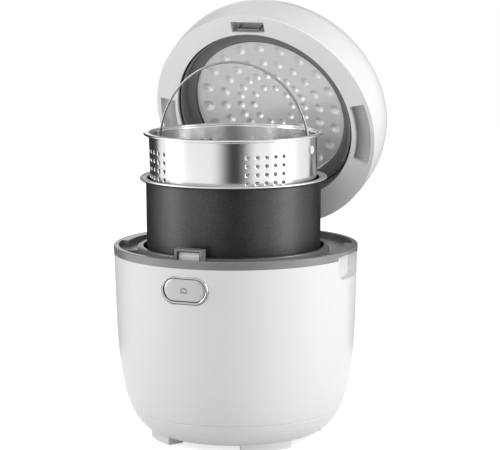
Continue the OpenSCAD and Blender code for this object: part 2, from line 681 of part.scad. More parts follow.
module lid_inner_cover() color("lightgray") lid_at_rest() difference() {
    union() {
        difference() {
            union() {
                translate([0, 0, flange_z]) cylinder(r = lid_r, h = flange_t);
                intersection() {
                    inner_lid_frame() pan_shape(2, -60);
                    translate([0, 0, flange_z]) cylinder(r = lid_r - 1, h = 80);
                }
                // pockets that face the side grips, and the catch's housing
                intersection() {
                    union() {
                        grip_pocket(1.2, 10);
                        box([-slot_x - 1.4, slot_front - 0.8, flange_z],
                            [slot_x + 1.4, latch_back + 2, rim_z + latch_rise + 5]);
                    }
                    dome_solid(wall + 0.3, flange_z);
                }
            }
            lid_hinge_space();
        }
        box([-lid_knuckle_x, hinge_y - 14, flange_z], [lid_knuckle_x, hinge_y, flange_z + 5]);
        rod_x(-lid_knuckle_x, lid_knuckle_x, hinge_y, hinge_z, knuckle_r);
    }
    inner_lid_frame() pan_shape(0, -60);
    translate([0, 0, -1]) grip_pocket(0, 9.6);
    box([-slot_x, slot_front, flange_z - 1], [slot_x, latch_back + 0.5, rim_z + latch_rise + 3.6]);
    rod_x(-40, 40, hinge_y, hinge_z, pin_r + run_gap);
    rod_x(-spring_half, spring_half, hinge_y, hinge_z, knuckle_r + 1.2);
    box([-spring_half, hinge_y - 8, flange_z - 1], [spring_half, hinge_y + 9, hinge_z + 9]);
    for (p = screw_spots) translate([p[0], p[1], rim_z]) cylinder(r = 1.7, h = 60);
    translate([0, cap_y, rim_z]) cylinder(r = 8.2, h = 60);
}
module grip_pocket(grow, up) intersection() {
    translate([0, 0, flange_z]) for (s = [-1, 1]) rotate(-90 + s*grip_az) rotate(-(pocket_a + grow)/2)
        rotate_extrude(angle = pocket_a + grow) translate([pan_r + pocket_in - grow, 0])
            square([lid_r - pocket_out - pan_r - pocket_in + 2*grow, up]);
    translate([0, 0, flange_z]) cylinder(r = lid_r - 1.5, h = dome_h);
}
keeper_front = hook_back + 0.4;
keeper_back = latch_back - latch_wall - 0.4;
module latch_keeper() color("silver") lid_at_rest() {
    box([-hook_x - 1.4, keeper_front, keeper_z], [hook_x + 1.4, keeper_back, keeper_z + keeper_h]);
    both_sides() box([hook_x + 0.5, keeper_front, keeper_z],
        [hook_x + 1.4, keeper_back, rim_z + latch_rise + 3.6]);
}
module lid_screws() color("silver") lid_at_rest() for (p = screw_spots) translate([p[0], p[1], rim_z]) {
    inner = ring_up + (p[1] - pot_y)*tan(inner_tilt) + plate_mid;
    translate([0, 0, inner - 1.6]) cylinder(r = 3, h = 2);
    translate([0, 0, inner]) cylinder(r = 1.35, h = 6);
}
module control_panel() color("black") lid_at_rest() difference() {
    intersection() {
        dome_solid(0, flange_z);
        panel_prism(0);
    }
    dome_solid(1.5, flange_z - 1);
}
control_z = rim_z + dome_h - 9;
module control_board() color("darkgreen") lid_at_rest() {
    box([-panel_w/3, panel_y - panel_h/3, control_z], [panel_w/3, panel_y + panel_h/3, control_z + 1.4]);
    translate([0, panel_y, control_z + 1.2]) cylinder(r = 5, h = 4);
}
module steam_pipe() color("dimgray") lid_at_rest() translate([0, cap_y, rim_z]) {
    low = ring_up + (cap_y - pot_y)*tan(inner_tilt) + plate_mid - 1;
    ring(8, 6, low, cap_seat - rim_z - 2.2);
    ring(12.6, 6, cap_seat - rim_z - 4, cap_seat - rim_z - 2.2);
}
module steam_cap() color("white") lid_at_rest() translate([0, cap_y, 0]) difference() {
    union() {
        translate([0, 0, cap_seat + 0.2]) rotate_extrude()
            polygon([[0, 0], [cap_r - 0.2, 0], [cap_r - 0.2, 3.6],
            [cap_r - 1.6, 5], [0, 5.4]]);
        ring(cap_hole_r - 0.4, cap_hole_r - 2, cap_seat - 1.8, cap_seat + 1);
    }
    for (i = [-2:2]) box([-9 + abs(i), i*4 - 0.9, cap_seat - 2], [9 - abs(i), i*4 + 0.9, cap_seat + 12]);
}

// ---------- inner lid ----------
function plate_z(r) = plate_edge + (plate_mid - plate_edge)*(1 - pow(r/gasket_ri, 2));
PLATE_STEPS = 12;
plate_arc = [for (i = [0:PLATE_STEPS]) let (r = (gasket_ri - 0.6)*(1 - i/PLATE_STEPS)) [r, plate_z(r)]];
module inner_plate() color("silver") lid_at_rest() inner_lid_frame() difference() {
    rotate_extrude() polygon(concat(
        [[gasket_ro - 4.5, gasket_t + 0.1], [gasket_ri - 0.6, gasket_t + 0.1]], plate_arc,
        reversed([for (p = plate_arc) [p[0] == 0 ? 0 : p[0] + 0.6, p[1] + plate_t]]),
        [[gasket_ri + 1, gasket_t + 1.5], [gasket_ro - 4.5, gasket_t + 1.5]]));
    for (d = DIMPLES) {
        mouth = dimple_small + (dimple_big - dimple_small)*(d[0] - 21.3)/(70.6 - 21.3);
        ball = (mouth*mouth + dimple_d*dimple_d)/(2*dimple_d);
        for (i = [0:d[1] - 1]) rotate(i*360/d[1]) translate([d[0], 0, plate_z(d[0]) - ball + dimple_d])
            sphere(ball, $fn = 24);
    }
    for (i = [-1, 1]) translate([i*5, 63, plate_mid - 8]) cylinder(r = 1.8, h = 12);
}
lip_bottom = pot_rim_seated + pot_bead + seat_gap;
module lid_gasket() color("dimgray") lid_at_rest() {
    inner_lid_frame() rotate_extrude() polygon([[gasket_ri, 0.8], [gasket_ri + 0.8, 0], [gasket_ro - 2.2, 0],
        [gasket_ro - 1.8, 0.5], [gasket_ro - 0.8, 0.5], [gasket_ro - 0.4, 0], [gasket_ro, 0.4],
        [gasket_ro, gasket_t], [gasket_ri, gasket_t]]);
    difference() {
        on_pot_axis() ring(gasket_ro - 0.6, gasket_ro - 2.8, lip_bottom, rim_z + ring_up + 10);
        inner_lid_frame() translate([0, 0, 0.4]) cylinder(r = 120, h = 60);
        on_pot_axis() linear_extrude(400) polygon([[0, 0], 200*[sin(lip_gap), cos(lip_gap)], [0, 200],
            200*[-sin(lip_gap), cos(lip_gap)]]);
    }
}

// ---------- pot and basket, drawn raised ----------
module inner_pot() color("dimgray") on_pot_axis() {
    z0 = pot_rim_z - pot_h;
    foot = pot_r - pot_taper;
    rotate_extrude() polygon(concat(
        [[0, z0 + coin_d], [coin_r - 1, z0 + coin_d], [coin_r, z0]],
        [for (a = [0:10:90]) [foot - pot_corner + pot_corner*sin(a), z0 + pot_corner - pot_corner*cos(a)]],
        [[pot_r, pot_rim_z - 0.6], [pot_rim_r - pot_bead, pot_rim_z - 0.6],
            [pot_rim_r - pot_bead, pot_rim_z + 0.9], [pot_r - pot_t, pot_rim_z + 0.9]],
        [for (a = [90:-10:0]) let (q = pot_corner - pot_t)
            [foot - pot_t - q + q*sin(a), z0 + pot_t + q - q*cos(a)]],
        [[coin_r, z0 + pot_t], [coin_r - 1, z0 + pot_t + coin_d], [0, z0 + pot_t + coin_d]]));
    rotate_extrude() translate([pot_rim_r - pot_bead, pot_rim_z]) circle(pot_bead, $fn = 32);
}
basket_foot = basket_r - basket_taper;
basket_floor_z = basket_rim_z - basket_h;
module basket_shape(inset) rotate_extrude() polygon(concat(
    [[0, basket_floor_z + inset]],
    [for (a = [0:15:90]) let (q = basket_corner - inset)
        [basket_foot - inset - q + q*sin(a), basket_floor_z + inset + q - q*cos(a)]],
    [[basket_r - inset, basket_rim_z - basket_bead], [basket_r - inset, basket_rim_z + (inset > 0 ? 5 : -0.4)],
        [0, basket_rim_z + (inset > 0 ? 5 : -0.4)]]));
floor_split = basket_foot - basket_corner - 0.5;
module basket_wall() color("silver") on_pot_axis() difference() {
    basket_shape(0);
    basket_shape(basket_t);
    translate([0, 0, basket_floor_z - 1]) cylinder(r = floor_split, h = basket_t + 2);
    for (g = [45:90:315]) for (c = [0:hole_cols - 1]) for (k = [0:hole_rows - 1])
        rotate(g + 2 + (c - (hole_cols - 1)/2)*hole_step_a)
            translate([basket_r - 6, 0, basket_rim_z - hole_first - k*hole_step_z])
                rotate([0, 90, 0]) cylinder(r = hole_r, h = 12, $fn = 16);
    for (s = [0, 180]) rotate(s) rod_x(basket_r - 6, basket_r + 6, 0, pivot_z, rivet_r + 0.02);
}
module basket_floor() color("silver") on_pot_axis() difference() {
    translate([0, 0, basket_floor_z]) cylinder(r = floor_split, h = basket_t);
    for (k = [0:floor_rings]) {
        count = k == 0 ? 1 : 6*k;
        for (i = [0:count - 1]) rotate(i*360/count) translate([k*floor_step, 0, basket_floor_z - 1])
            cylinder(r = hole_r, h = basket_t + 2, $fn = 16);
    }
}
module basket_rim() color("silver") on_pot_axis() rotate_extrude() {
    translate([basket_rim_r - basket_bead, basket_rim_z]) circle(basket_bead, $fn = 32);
    translate([basket_r - basket_t, basket_rim_z - 0.4])
        square([basket_rim_r - basket_bead - basket_r + basket_t, basket_bead + 0.4]);
}
eye_x = basket_r - basket_t - 1.2;
module basket_rivets() color("silver") on_pot_axis() both_sides() {
    rod_x(eye_x - eye_t - 0.4, basket_r + 0.4, 0, pivot_z, rivet_r);
    rod_x(basket_r - 0.2, basket_r + 0.9, 0, pivot_z, rivet_r*2);
    rod_x(eye_x - eye_t - 1.8, eye_x - eye_t - 0.3, 0, pivot_z, rivet_r*1.8);
}
// Three arcs that meet smoothly at 45 degrees: two sides centred level with the pivot, and a top
leg_x = eye_x - eye_t/2;
side_shift = (handle_h - leg_x)/(1 + tan(45) - 1/cos(45));
side_r = leg_x + side_shift;
top_r = side_r - side_shift/cos(45);
foot_a = asin((rivet_r*1.8 + 0.4)/side_r);
module wire_arc(radius, from, to) rotate([90, 0, 0]) rotate([0, 0, from]) rotate_extrude(angle = to - from)
    translate([radius, 0]) circle(wire_r, $fn = 32);
module basket_handle() color("silver") on_pot_axis() difference() {
    union() {
        translate([0, 0, pivot_z + side_shift]) wire_arc(top_r, 45, 135);
        both_sides() {
            translate([-side_shift, 0, pivot_z]) wire_arc(side_r, foot_a, 45);
            translate([side_r*cos(45) - side_shift, 0, pivot_z + side_r*sin(45)])
                sphere(wire_r + 0.02, $fn = 32);
            rod_x(eye_x - eye_t, eye_x, 0, pivot_z, rivet_r + 2.4);
        }
    }
    rod_x(-100, 100, 0, pivot_z, rivet_r + run_gap);
}

outer_shell();
base_cover();
feet();
base_screws();
top_frame();
well_liner();
heating_plate();
heating_element();
thermal_fuse();
plate_posts();
sensor_housing();
sensor_spring();
pot_sensor();
power_board();
board_parts();
power_inlet();
inlet_pins();
hinge_bracket();
hinge_pin();
lid_spring();
button_bezel();
open_button();
latch_bracket();
latch_pin();
latch_spring();
latch_hook();
lid_shell();
lid_inner_cover();
latch_keeper();
lid_screws();
control_panel();
control_board();
steam_pipe();
steam_cap();
inner_plate();
lid_gasket();
inner_pot();
basket_wall();
basket_floor();
basket_rim();
basket_rivets();
basket_handle();
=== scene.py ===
import json
import math

import bpy
import numpy as np
from bpy.props import FloatProperty, FloatVectorProperty, PointerProperty
from mathutils import Matrix, Vector


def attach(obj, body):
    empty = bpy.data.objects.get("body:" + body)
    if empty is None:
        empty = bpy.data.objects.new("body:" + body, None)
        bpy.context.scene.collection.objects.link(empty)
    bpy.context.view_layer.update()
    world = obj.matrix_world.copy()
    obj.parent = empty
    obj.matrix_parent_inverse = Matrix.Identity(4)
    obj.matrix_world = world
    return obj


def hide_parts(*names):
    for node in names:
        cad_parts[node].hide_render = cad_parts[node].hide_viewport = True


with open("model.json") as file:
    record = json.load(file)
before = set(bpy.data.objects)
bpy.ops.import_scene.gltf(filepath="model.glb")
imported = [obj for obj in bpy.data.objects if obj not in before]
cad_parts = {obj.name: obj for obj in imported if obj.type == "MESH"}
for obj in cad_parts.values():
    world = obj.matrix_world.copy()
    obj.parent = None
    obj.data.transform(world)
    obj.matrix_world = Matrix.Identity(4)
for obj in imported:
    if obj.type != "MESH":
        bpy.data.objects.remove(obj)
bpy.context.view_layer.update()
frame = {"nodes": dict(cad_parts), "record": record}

bl_info = {
    "name": "Rice cooker with steaming basket",
    "version": (1, 0, 0),
    "blender": (4, 5, 0),
    "location": "View3D > Sidebar > Cooker",
    "description": "Finishes and smooth surfaces for a rice cooker with a lift-out pot and basket",
    "category": "Add Mesh",
}

MM = 0.001
TURN = 2 * math.pi

# Points nearer than this are one point
WELD = 0.0002 * MM
# Steps of the round pieces about their axis
FINE_TURN = 320
# Rings of dimples in the inner plate: radius in millimetres, and how many stand in it
DIMPLE_RINGS = ((70.6, 20), (52.3, 20), (35.6, 20), (21.3, 10))
# Holes in the basket's wall: groups, columns and rows in a group, and grid steps across the cell of a hole
HOLE_GROUPS, HOLE_COLUMNS, HOLE_ROWS, CELL = 4, 5, 6, 6
# Height of the grain that a finish's bump shows
GRAIN_HEIGHT = 0.2 * MM
# Painted depth shade in the lid: heights over the cover's face where it starts and is full, and the radii
# where it is deepest and lightest
SHADE_HEIGHTS = (1.4 * MM, 5 * MM)
SHADE_RADII = (95 * MM, 112 * MM)
# Strength of the world as a lamp; the camera and reflections see it at 1
AMBIENT = 0.47
# Lamps: name, power, size, azimuth, elevation, distance, and whether reflections see it
LAMPS = (
    ("left_softbox", 12.4, (0.5, 1.4), -61, 14, 1.6, True),
    ("right_softbox", 16.6, (0.55, 1.4), 97, 14, 1.6, True),
    ("top_softbox", 1.7, (1.4, 1.4), 20, 60, 1.7, True),
    ("front_softbox", 6.8, (1.4, 1.0), 24, 7, 2.0, False),
)
LAMP_AIM = Vector((0, 0, 0.2))
# Dark cards: name, azimuth, width, distance, and the share of the width that is solid
FLAGS = (
    ("front_flag", 26, 1.6, 1.5, 0.1),
    ("left_back_flag", -120, 1.5, 1.7, 1.0),
    ("right_back_flag", 175, 1.5, 1.7, 1.0),
)
FLAG_HEIGHT = 1.5
# How near the wedge of a card comes to the axis, and how high it lies over the floor
FLAG_NEAR, FLAG_LIFT = 0.42, 0.5 * MM
FLOOR_HALF = 3.0


# ---------- settings ----------
def length(name, text, default):
    """A size, its default in millimetres."""
    return FloatProperty(name=name, description=text, default=default * MM, unit="LENGTH", precision=4)


def angle(name, text, default):
    """An angle, its default in degrees."""
    return FloatProperty(name=name, description=text, default=math.radians(default), unit="ROTATION")


def grey(name, text, value):
    """A colour, its default a neutral grey."""
    return FloatVectorProperty(name=name, description=text, default=(value,) * 3, subtype="COLOR", size=3,
                               min=0, max=1)


class BodySizes(bpy.types.PropertyGroup):
    rim_z: length("Rim height", "Height of the rim above the counter", 194.0)
    seam_z: length("Seam height", "Height of the shell's lower edge over the counter", 31.0)
    seam_r: length("Seam radius", "Radius of the shadow line under the shell's lower edge", 105.45)


class LidSizes(bpy.types.PropertyGroup):
    hinge_y: length("Hinge setback", "Distance of the hinge behind the axis", 121.0)
    hinge_up: length("Hinge height", "Height of the hinge over the rim", 3.7)
    open_angle: angle("Opening", "Angle of the open lid", 67.5)
    cover_up: length("Cover height", "Height of the cover's face over the rim", 0.3)
    ring_up: length("Inner lid height", "Height of the gasket's face over the rim", 16.3)
    inner_tilt: angle("Inner lid tilt", "Lean of the inner lid", 4)
    gasket_ro: length("Gasket outside", "Outer radius of the gasket", 94.0)
    gasket_ri: length("Gasket inside", "Inner radius of the gasket", 81.3)
    gasket_t: length("Gasket thickness", "Thickness of the gasket", 3.0)
    lip_gap: angle("Lip gap", "Half angle left open in the gasket's lip, at the hinge", 58)
    plate_edge: length("Plate edge depth", "Depth of the plate at its edge", 5.0)
    plate_t: length("Plate sheet", "Thickness of the plate", 1.6)
    plate_mid: length("Plate middle depth", "Depth of the plate at its middle", 12.0)
    dimple_big: length("Outer dimples", "Mouth radius of the outermost dimples", 5.98)
    dimple_small: length("Inner dimples", "Mouth radius of the innermost dimples", 3.9)
    dimple_d: length("Dimple depth", "Depth of a dimple", 1.8)


class PotSizes(bpy.types.PropertyGroup):
    pot_y: length("Pot axis", "Where the pot's axis stands along Y", -5.0)
    pot_r: length("Pot radius", "Outer radius of the pot", 87.0)
    pot_h: length("Pot height", "Height of the pot", 105.0)
    pot_t: length("Pot wall", "Thickness of the pot's wall", 1.5)
    pot_rim_r: length("Pot rim radius", "Outer radius of the pot's rolled rim", 93.2)
    pot_taper: length("Pot taper", "How far the wall draws in at its foot", 0.6)
    pot_corner: length("Pot corner", "Radius of the pot's lower corner", 14.0)
    pot_seat: length("Pot seat", "Height of the lowered pot's rim over the body's", 1.5)
    coin_r: length("Pot centre", "Radius of the step in the pot's floor", 18.0)
    coin_d: length("Pot centre depth", "Height of that step", 1.4)
    pot_bead: length("Pot bead", "Radius of the rolled rim's bead", 1.6)
    pot_rim_z: length("Pot rim height", "Height of the raised pot's rim", 261.0)
    basket_r: length("Basket radius", "Outer radius of the basket", 84.0)
    basket_t: length("Basket wall", "Thickness of the basket's sheet", 0.8)
    basket_rim_r: length("Basket rim radius", "Outer radius of the basket's rim", 89.2)
    basket_bead: length("Basket bead", "Radius of the basket's bead", 1.3)
    basket_fold: length("Basket fold", "Depth of the rim's flat fold under its height", 0.4)
    basket_rim_z: length("Basket rim height", "Height of the raised basket's rim", 305.2)
    basket_h: length("Basket height", "Height of the basket", 84.0)
    basket_taper: length("Basket taper", "How far the basket draws in at its foot", 2.0)
    basket_corner: length("Basket corner", "Radius of the basket's lower corner", 8.0)
    hole_r: length("Holes", "Radius of the basket's holes", 1.8)
    hole_first: length("First row", "Depth of the highest row of holes", 16.0)
    hole_step_z: length("Row step", "Distance between rows of holes", 8.4)
    hole_step_a: angle("Column step", "Angle between columns of holes", 6.6)
    hole_turn: angle("Hole groups", "Angle of the first group of holes from +X", 47)
    wire_r: length("Wire radius", "Radius of the handle's wire", 1.2)
    handle_h: length("Handle height", "Height of the wire's top over its pivots", 83.5)
    pivot_drop: length("Pivot drop", "Depth of the pivots under the basket's rim", 13.5)
    rivet_r: length("Rivets", "Radius of the pivots", 2.0)


class ButtonSizes(bpy.types.PropertyGroup):
    width: length("Width", "Width of the button's bezel", 49.0)
    height: length("Height", "Height of the button's bezel", 27.0)
    bezel: length("Bezel", "Width of the bezel's face", 2.2)
    rise: length("Rise", "How far the bezel stands out", 0.9)
    drop: length("Drop", "Depth of the button's middle under the rim", 28.8)
    face_r: length("Face radius", "Radius of the shell's face at the button", 120.95)


class Finishes(bpy.types.PropertyGroup):
    shell_white: grey("White shell", "Glossy outer shell and dome", 0.79)
    base_white: grey("Base", "Base cover and feet", 0.70)
    frame_grey: grey("Frame", "Top frame", 0.21)
    cover_grey: grey("Lid cover", "Underside of the lid", 0.90)
    button_grey: grey("Button", "Open button", 0.58)
    coat_dark: grey("Pot coating", "Non-stick coating", 0.065)
    steel: grey("Steel", "Brushed steel of the basket", 0.74)
    plate_silver: grey("Plate", "Pressed aluminium plates", 0.97)
    gasket_dark: grey("Gasket", "Silicone gasket", 0.22)


class StageSettings(bpy.types.PropertyGroup):
    azimuth: angle("Azimuth", "Camera azimuth", 24)
    elevation: angle("Elevation", "Camera elevation", 8.3)
    roll: angle("Roll", "Camera roll", -0.2)
    distance: FloatProperty(name="Distance", description="Camera distance", default=2.239, unit="LENGTH")
    lens: FloatProperty(name="Lens", description="Focal length in millimetres", default=161.3)
    target_z: length("Target height", "Height that the camera looks at", 212.0)
    target_side: length("Target side", "Shift of the target to the camera's right", 14.3)


# ---------- node helpers ----------
def put(tree, kind, values=None, **settings):
    """A new node with its settings and the values of its inputs."""
    node = tree.nodes.new(kind)
    for key, value in settings.items():
        setattr(node, key, value)
    for key, value in (values or {}).items():
        node.inputs[key].default_value = value
    return node


def join(tree, *pairs):
    for source, target in pairs:
        tree.links.new(source, target)


def feed(tree, value, socket):
    """Sets a socket to a number, or links another socket to it."""
    if isinstance(value, (int, float)):
        socket.default_value = value
    else:
        tree.links.new(value, socket)


def maths(tree, operation, *values, clamp=False):
    node = put(tree, "ShaderNodeMath", operation=operation, use_clamp=clamp)
    for slot, value in zip(node.inputs, values):
        feed(tree, value, slot)
    return node.outputs[0]


def object_point(tree):
    return put(tree, "ShaderNodeTexCoord").outputs["Object"]


def split(tree, vector):
    """The x, y and z of a vector."""
    node = put(tree, "ShaderNodeSeparateXYZ")
    join(tree, (vector, node.inputs[0]))
    return node.outputs


def flat_radius(tree, x, y):
    """sqrt(x^2 + y^2)"""
    squares = [maths(tree, "MULTIPLY", side, side) for side in (x, y)]
    return maths(tree, "SQRT", maths(tree, "ADD", *squares))


def noise(tree, place, scale, detail, rough=0.5):
    """The value of a noise pattern, its scale a number or a socket."""
    node = put(tree, "ShaderNodeTexNoise", {"Detail": detail, "Roughness": rough})
    join(tree, (place, node.inputs["Vector"]))
    feed(tree, scale, node.inputs["Scale"])
    return node.outputs["Fac"]


def ranged(tree, value, start, end, at_start=0.0, at_end=1.0, kind="LINEAR"):
    """A value carried from the range start to end into the range at_start to at_end, and kept inside it."""
    node = put(tree, "ShaderNodeMapRange", {"From Min": start, "From Max": end, "To Max": at_end},
               interpolation_type=kind)
    join(tree, (value, node.inputs["Value"]))
    feed(tree, at_start, node.inputs["To Min"])
    return node.outputs["Result"]


def mixed(tree, factor, a, b, blend="MIX"):
    """Colour a, blended with colour b by a factor."""
    node = put(tree, "ShaderNodeMix", data_type="RGBA", blend_type=blend)
    join(tree, (factor, node.inputs["Factor"]), (a, node.inputs[6]), (b, node.inputs[7]))
    return node.outputs[2]


def swing(tree, amount, mask):
    """amount (mask - 1/2)"""
    return maths(tree, "MULTIPLY", maths(tree, "SUBTRACT", mask, 0.5), amount)


def shaded(tree, colour, amount, mask):
    """colour x (1 + amount (mask - 1/2))"""
    node = put(tree, "ShaderNodeVectorMath", operation="SCALE")
    gain = maths(tree, "ADD", swing(tree, amount, mask), 1.0)
    join(tree, (colour, node.inputs[0]), (gain, node.inputs["Scale"]))
    return node.outputs[0]


def spread(tree, middle, amount, mask):
    """middle + amount (mask - 1/2), kept between 0 and 1"""
    return maths(tree, "ADD", swing(tree, amount, mask), middle, clamp=True)


# ---------- patterns ----------
FLOAT, COLOUR = "NodeSocketFloat", "NodeSocketColor"
SKIN_OUT = [("Colour", COLOUR), ("Roughness", FLOAT), ("Height", FLOAT)]


def new_group(name, inputs, outputs=SKIN_OUT):
    """A node group, the sockets that it is given and the sockets that it puts out."""
    tree = bpy.data.node_groups.new(name, "ShaderNodeTree")
    for label, kind, value in inputs:
        socket = tree.interface.new_socket(label, in_out="INPUT", socket_type=kind)
        socket.default_value = value
    for label, kind in outputs:
        tree.interface.new_socket(label, in_out="OUTPUT", socket_type=kind)
    return tree, tree.nodes.new("NodeGroupInput").outputs, tree.nodes.new("NodeGroupOutput").inputs


def put_out(tree, out, *values):
    """Joins values to the sockets that a group puts out, in their order, and gives back the group."""
    join(tree, *zip(values, out))
    return tree


def moulded_group():
    """Moulded plastic or rubber: a soft cloud in the colour, smudges in the gloss, grain in the height."""
    tree, given, out = new_group("Moulded skin", [
        ("Colour", COLOUR, (0.8, 0.8, 0.8, 1)), ("Cloud", FLOAT, 0.04), ("Roughness", FLOAT, 0.3),
        ("Spread", FLOAT, 0.08), ("Grain scale", FLOAT, 1400.0)])
    place = object_point(tree)
    cloud = noise(tree, place, 14.0, 2.0)
    smudge = noise(tree, place, 55.0, 4.0)
    grain = noise(tree, place, given["Grain scale"], 1.0)
    return put_out(tree, out, shaded(tree, given["Colour"], given["Cloud"], cloud),
                   spread(tree, given["Roughness"], given["Spread"], smudge), grain)


def brushed_group():
    """Brushed metal: streaks round the axis through Centre, long in angle and short in height and radius."""
    tree, given, out = new_group("Brushed streaks", [
        ("Colour", COLOUR, (0.7, 0.7, 0.7, 1)), ("Shade", FLOAT, 0.12), ("Roughness", FLOAT, 0.28),
        ("Spread", FLOAT, 0.12), ("Centre", "NodeSocketVector", (0, 0, 0)), ("Fineness", FLOAT, 900.0)])
    local = put(tree, "ShaderNodeVectorMath", operation="SUBTRACT")
    join(tree, (object_point(tree), local.inputs[0]), (given["Centre"], local.inputs[1]))
    x, y, z = split(tree, local.outputs[0])
    radius = flat_radius(tree, x, y)
    turn = put(tree, "ShaderNodeCombineXYZ")
    join(tree, (maths(tree, "DIVIDE", x, radius), turn.inputs["X"]),
         (maths(tree, "DIVIDE", y, radius), turn.inputs["Y"]),
         (maths(tree, "MULTIPLY", maths(tree, "ADD", z, radius), given["Fineness"]), turn.inputs["Z"]))
    fine = noise(tree, turn.outputs[0], 1.0, 3.0, 0.7)
    broad = noise(tree, turn.outputs[0], 0.13, 3.0)
    both = maths(tree, "ADD", maths(tree, "MULTIPLY", fine, 0.6), maths(tree, "MULTIPLY", broad, 0.4))
    return put_out(tree, out, shaded(tree, given["Colour"], given["Shade"], both),
                   spread(tree, given["Roughness"], given["Spread"], both), fine)


def speckled_group():
    """Non-stick coating: a dark ground with small pale flecks and a fine grain, bare metal above a height."""
    tree, given, out = new_group("Speckled coat", [
        ("Colour", COLOUR, (0.03, 0.03, 0.03, 1)), ("Fleck", COLOUR, (0.3, 0.3, 0.3, 1)),
        ("Roughness", FLOAT, 0.42), ("Spread", FLOAT, 0.1), ("Scale", FLOAT, 700.0), ("Amount", FLOAT, 0.35),
        ("Bare", COLOUR, (0.7, 0.7, 0.7, 1)), ("Bare Above", FLOAT, 9.0)])
    place = object_point(tree)
    cells = put(tree, "ShaderNodeTexVoronoi")
    chance = put(tree, "ShaderNodeSeparateColor")
    join(tree, (place, cells.inputs["Vector"]), (given["Scale"], cells.inputs["Scale"]),
         (cells.outputs["Color"], chance.inputs[0]))
    grain = noise(tree, place, maths(tree, "MULTIPLY", given["Scale"], 1.7), 2.0)
    cloud = noise(tree, place, 30.0, 3.0)
    near = maths(tree, "LESS_THAN", cells.outputs["Distance"], 0.34)
    fleck = maths(tree, "MULTIPLY", near, maths(tree, "LESS_THAN", chance.outputs[0], given["Amount"]))
    coat = mixed(tree, maths(tree, "MULTIPLY", fleck, chance.outputs[1]), given["Colour"], given["Fleck"])
    bare = maths(tree, "GREATER_THAN", split(tree, place)["Z"], given["Bare Above"])
    return put_out(tree, out, mixed(tree, bare, shaded(tree, coat, 0.25, cloud), given["Bare"]),
                   spread(tree, given["Roughness"], given["Spread"], grain), grain)


def recess_painted_shade_group(lid, body):
    """Painted depth shade: the colour darkened where the lid, turned shut, lies over the cover's face, most
    near the middle.
    """
    tree, given, out = new_group("Recess shade", [
        ("Colour", COLOUR, (0.8, 0.8, 0.8, 1)), ("Deepest", FLOAT, 0.22)], SKIN_OUT[:1])
    hinge = (0, lid.hinge_y, body.rim_z + lid.hinge_up)
    shut = put(tree, "ShaderNodeVectorRotate", {"Center": hinge, "Angle": lid.open_angle},
               rotation_type="X_AXIS")
    join(tree, (object_point(tree), shut.inputs["Vector"]))
    x, y, z = split(tree, shut.outputs[0])
    start, full = (body.rim_z + lid.cover_up + height for height in SHADE_HEIGHTS)
    # Painted shade: the cover's colour is multiplied down in its pockets, its slot and round the gasket
    deep = ranged(tree, z, start, full, kind="SMOOTHSTEP")
    light = ranged(tree, flat_radius(tree, x, y), *SHADE_RADII, given["Deepest"], 0.85)
    level = put(tree, "ShaderNodeCombineColor")
    join(tree, *((light, socket) for socket in level.inputs))
    return put_out(tree, out, mixed(tree, deep, given["Colour"], level.outputs[0], "MULTIPLY"))


# ---------- materials ----------
def finish(slot, group, colour, roughness, pattern_values, shader_values, bump):
    """A material: a pattern group feeds colour, roughness and a bump; constants stand on the shader."""
    material = bpy.data.materials.new("cooker_" + slot)
    material.use_nodes = True
    tree = material.node_tree
    values = {"Colour": (*colour, 1), "Roughness": roughness, **pattern_values}
    pattern = put(tree, "ShaderNodeGroup", values, node_tree=group)
    principled = tree.nodes["Principled BSDF"]
    for key, value in shader_values.items():
        principled.inputs[key].default_value = value
    relief = put(tree, "ShaderNodeBump", {"Strength": bump, "Distance": GRAIN_HEIGHT})
    join(tree, (pattern.outputs["Colour"], principled.inputs["Base Color"]),
         (pattern.outputs["Roughness"], principled.inputs["Roughness"]),
         (pattern.outputs["Height"], relief.inputs["Height"]),
         (relief.outputs[0], principled.inputs["Normal"]))
    return material


def plastics(tone):
    """Moulded finishes: colour, roughness, the pattern's other values, the shader's values, bump strength."""
    gloss = {"Coat Weight": 0.05, "Coat Roughness": 0.25, "Specular IOR Level": 0.2}
    return {
        "white_shell": (tone.shell_white, 0.30, {"Cloud": 0.02}, gloss, 0.03),
        "grey_frame": (tone.frame_grey, 0.34, {"Cloud": 0.05}, {"Coat Weight": 0.5, "Coat Roughness": 0.22},
                       0.12),
        "pale_cover": (tone.cover_grey, 0.42, {"Cloud": 0.03}, {}, 0.10),
        "button_grey": (tone.button_grey, 0.32, {}, {"Metallic": 0.2}, 0.05),
        "hook_white": ((0.75,) * 3, 0.35, {}, {}, 0.05),
        "rubber_foot": (tone.base_white, 0.7, {}, {}, 0.3),
        "gasket": (tone.gasket_dark, 0.5, {"Cloud": 0.15}, {"Specular IOR Level": 0.4}, 0.15),
        "fuse_white": ((0.7, 0.69, 0.64), 0.6, {}, {}, 0.1),
        "circuit_board": ((0.02, 0.10, 0.04), 0.35, {}, {}, 0.1),
        "board_part": ((0.03,) * 3, 0.4, {}, {}, 0.1),
        "black_plastic": ((0.012,) * 3, 0.25, {}, {"Coat Weight": 0.3}, 0.06),
    }


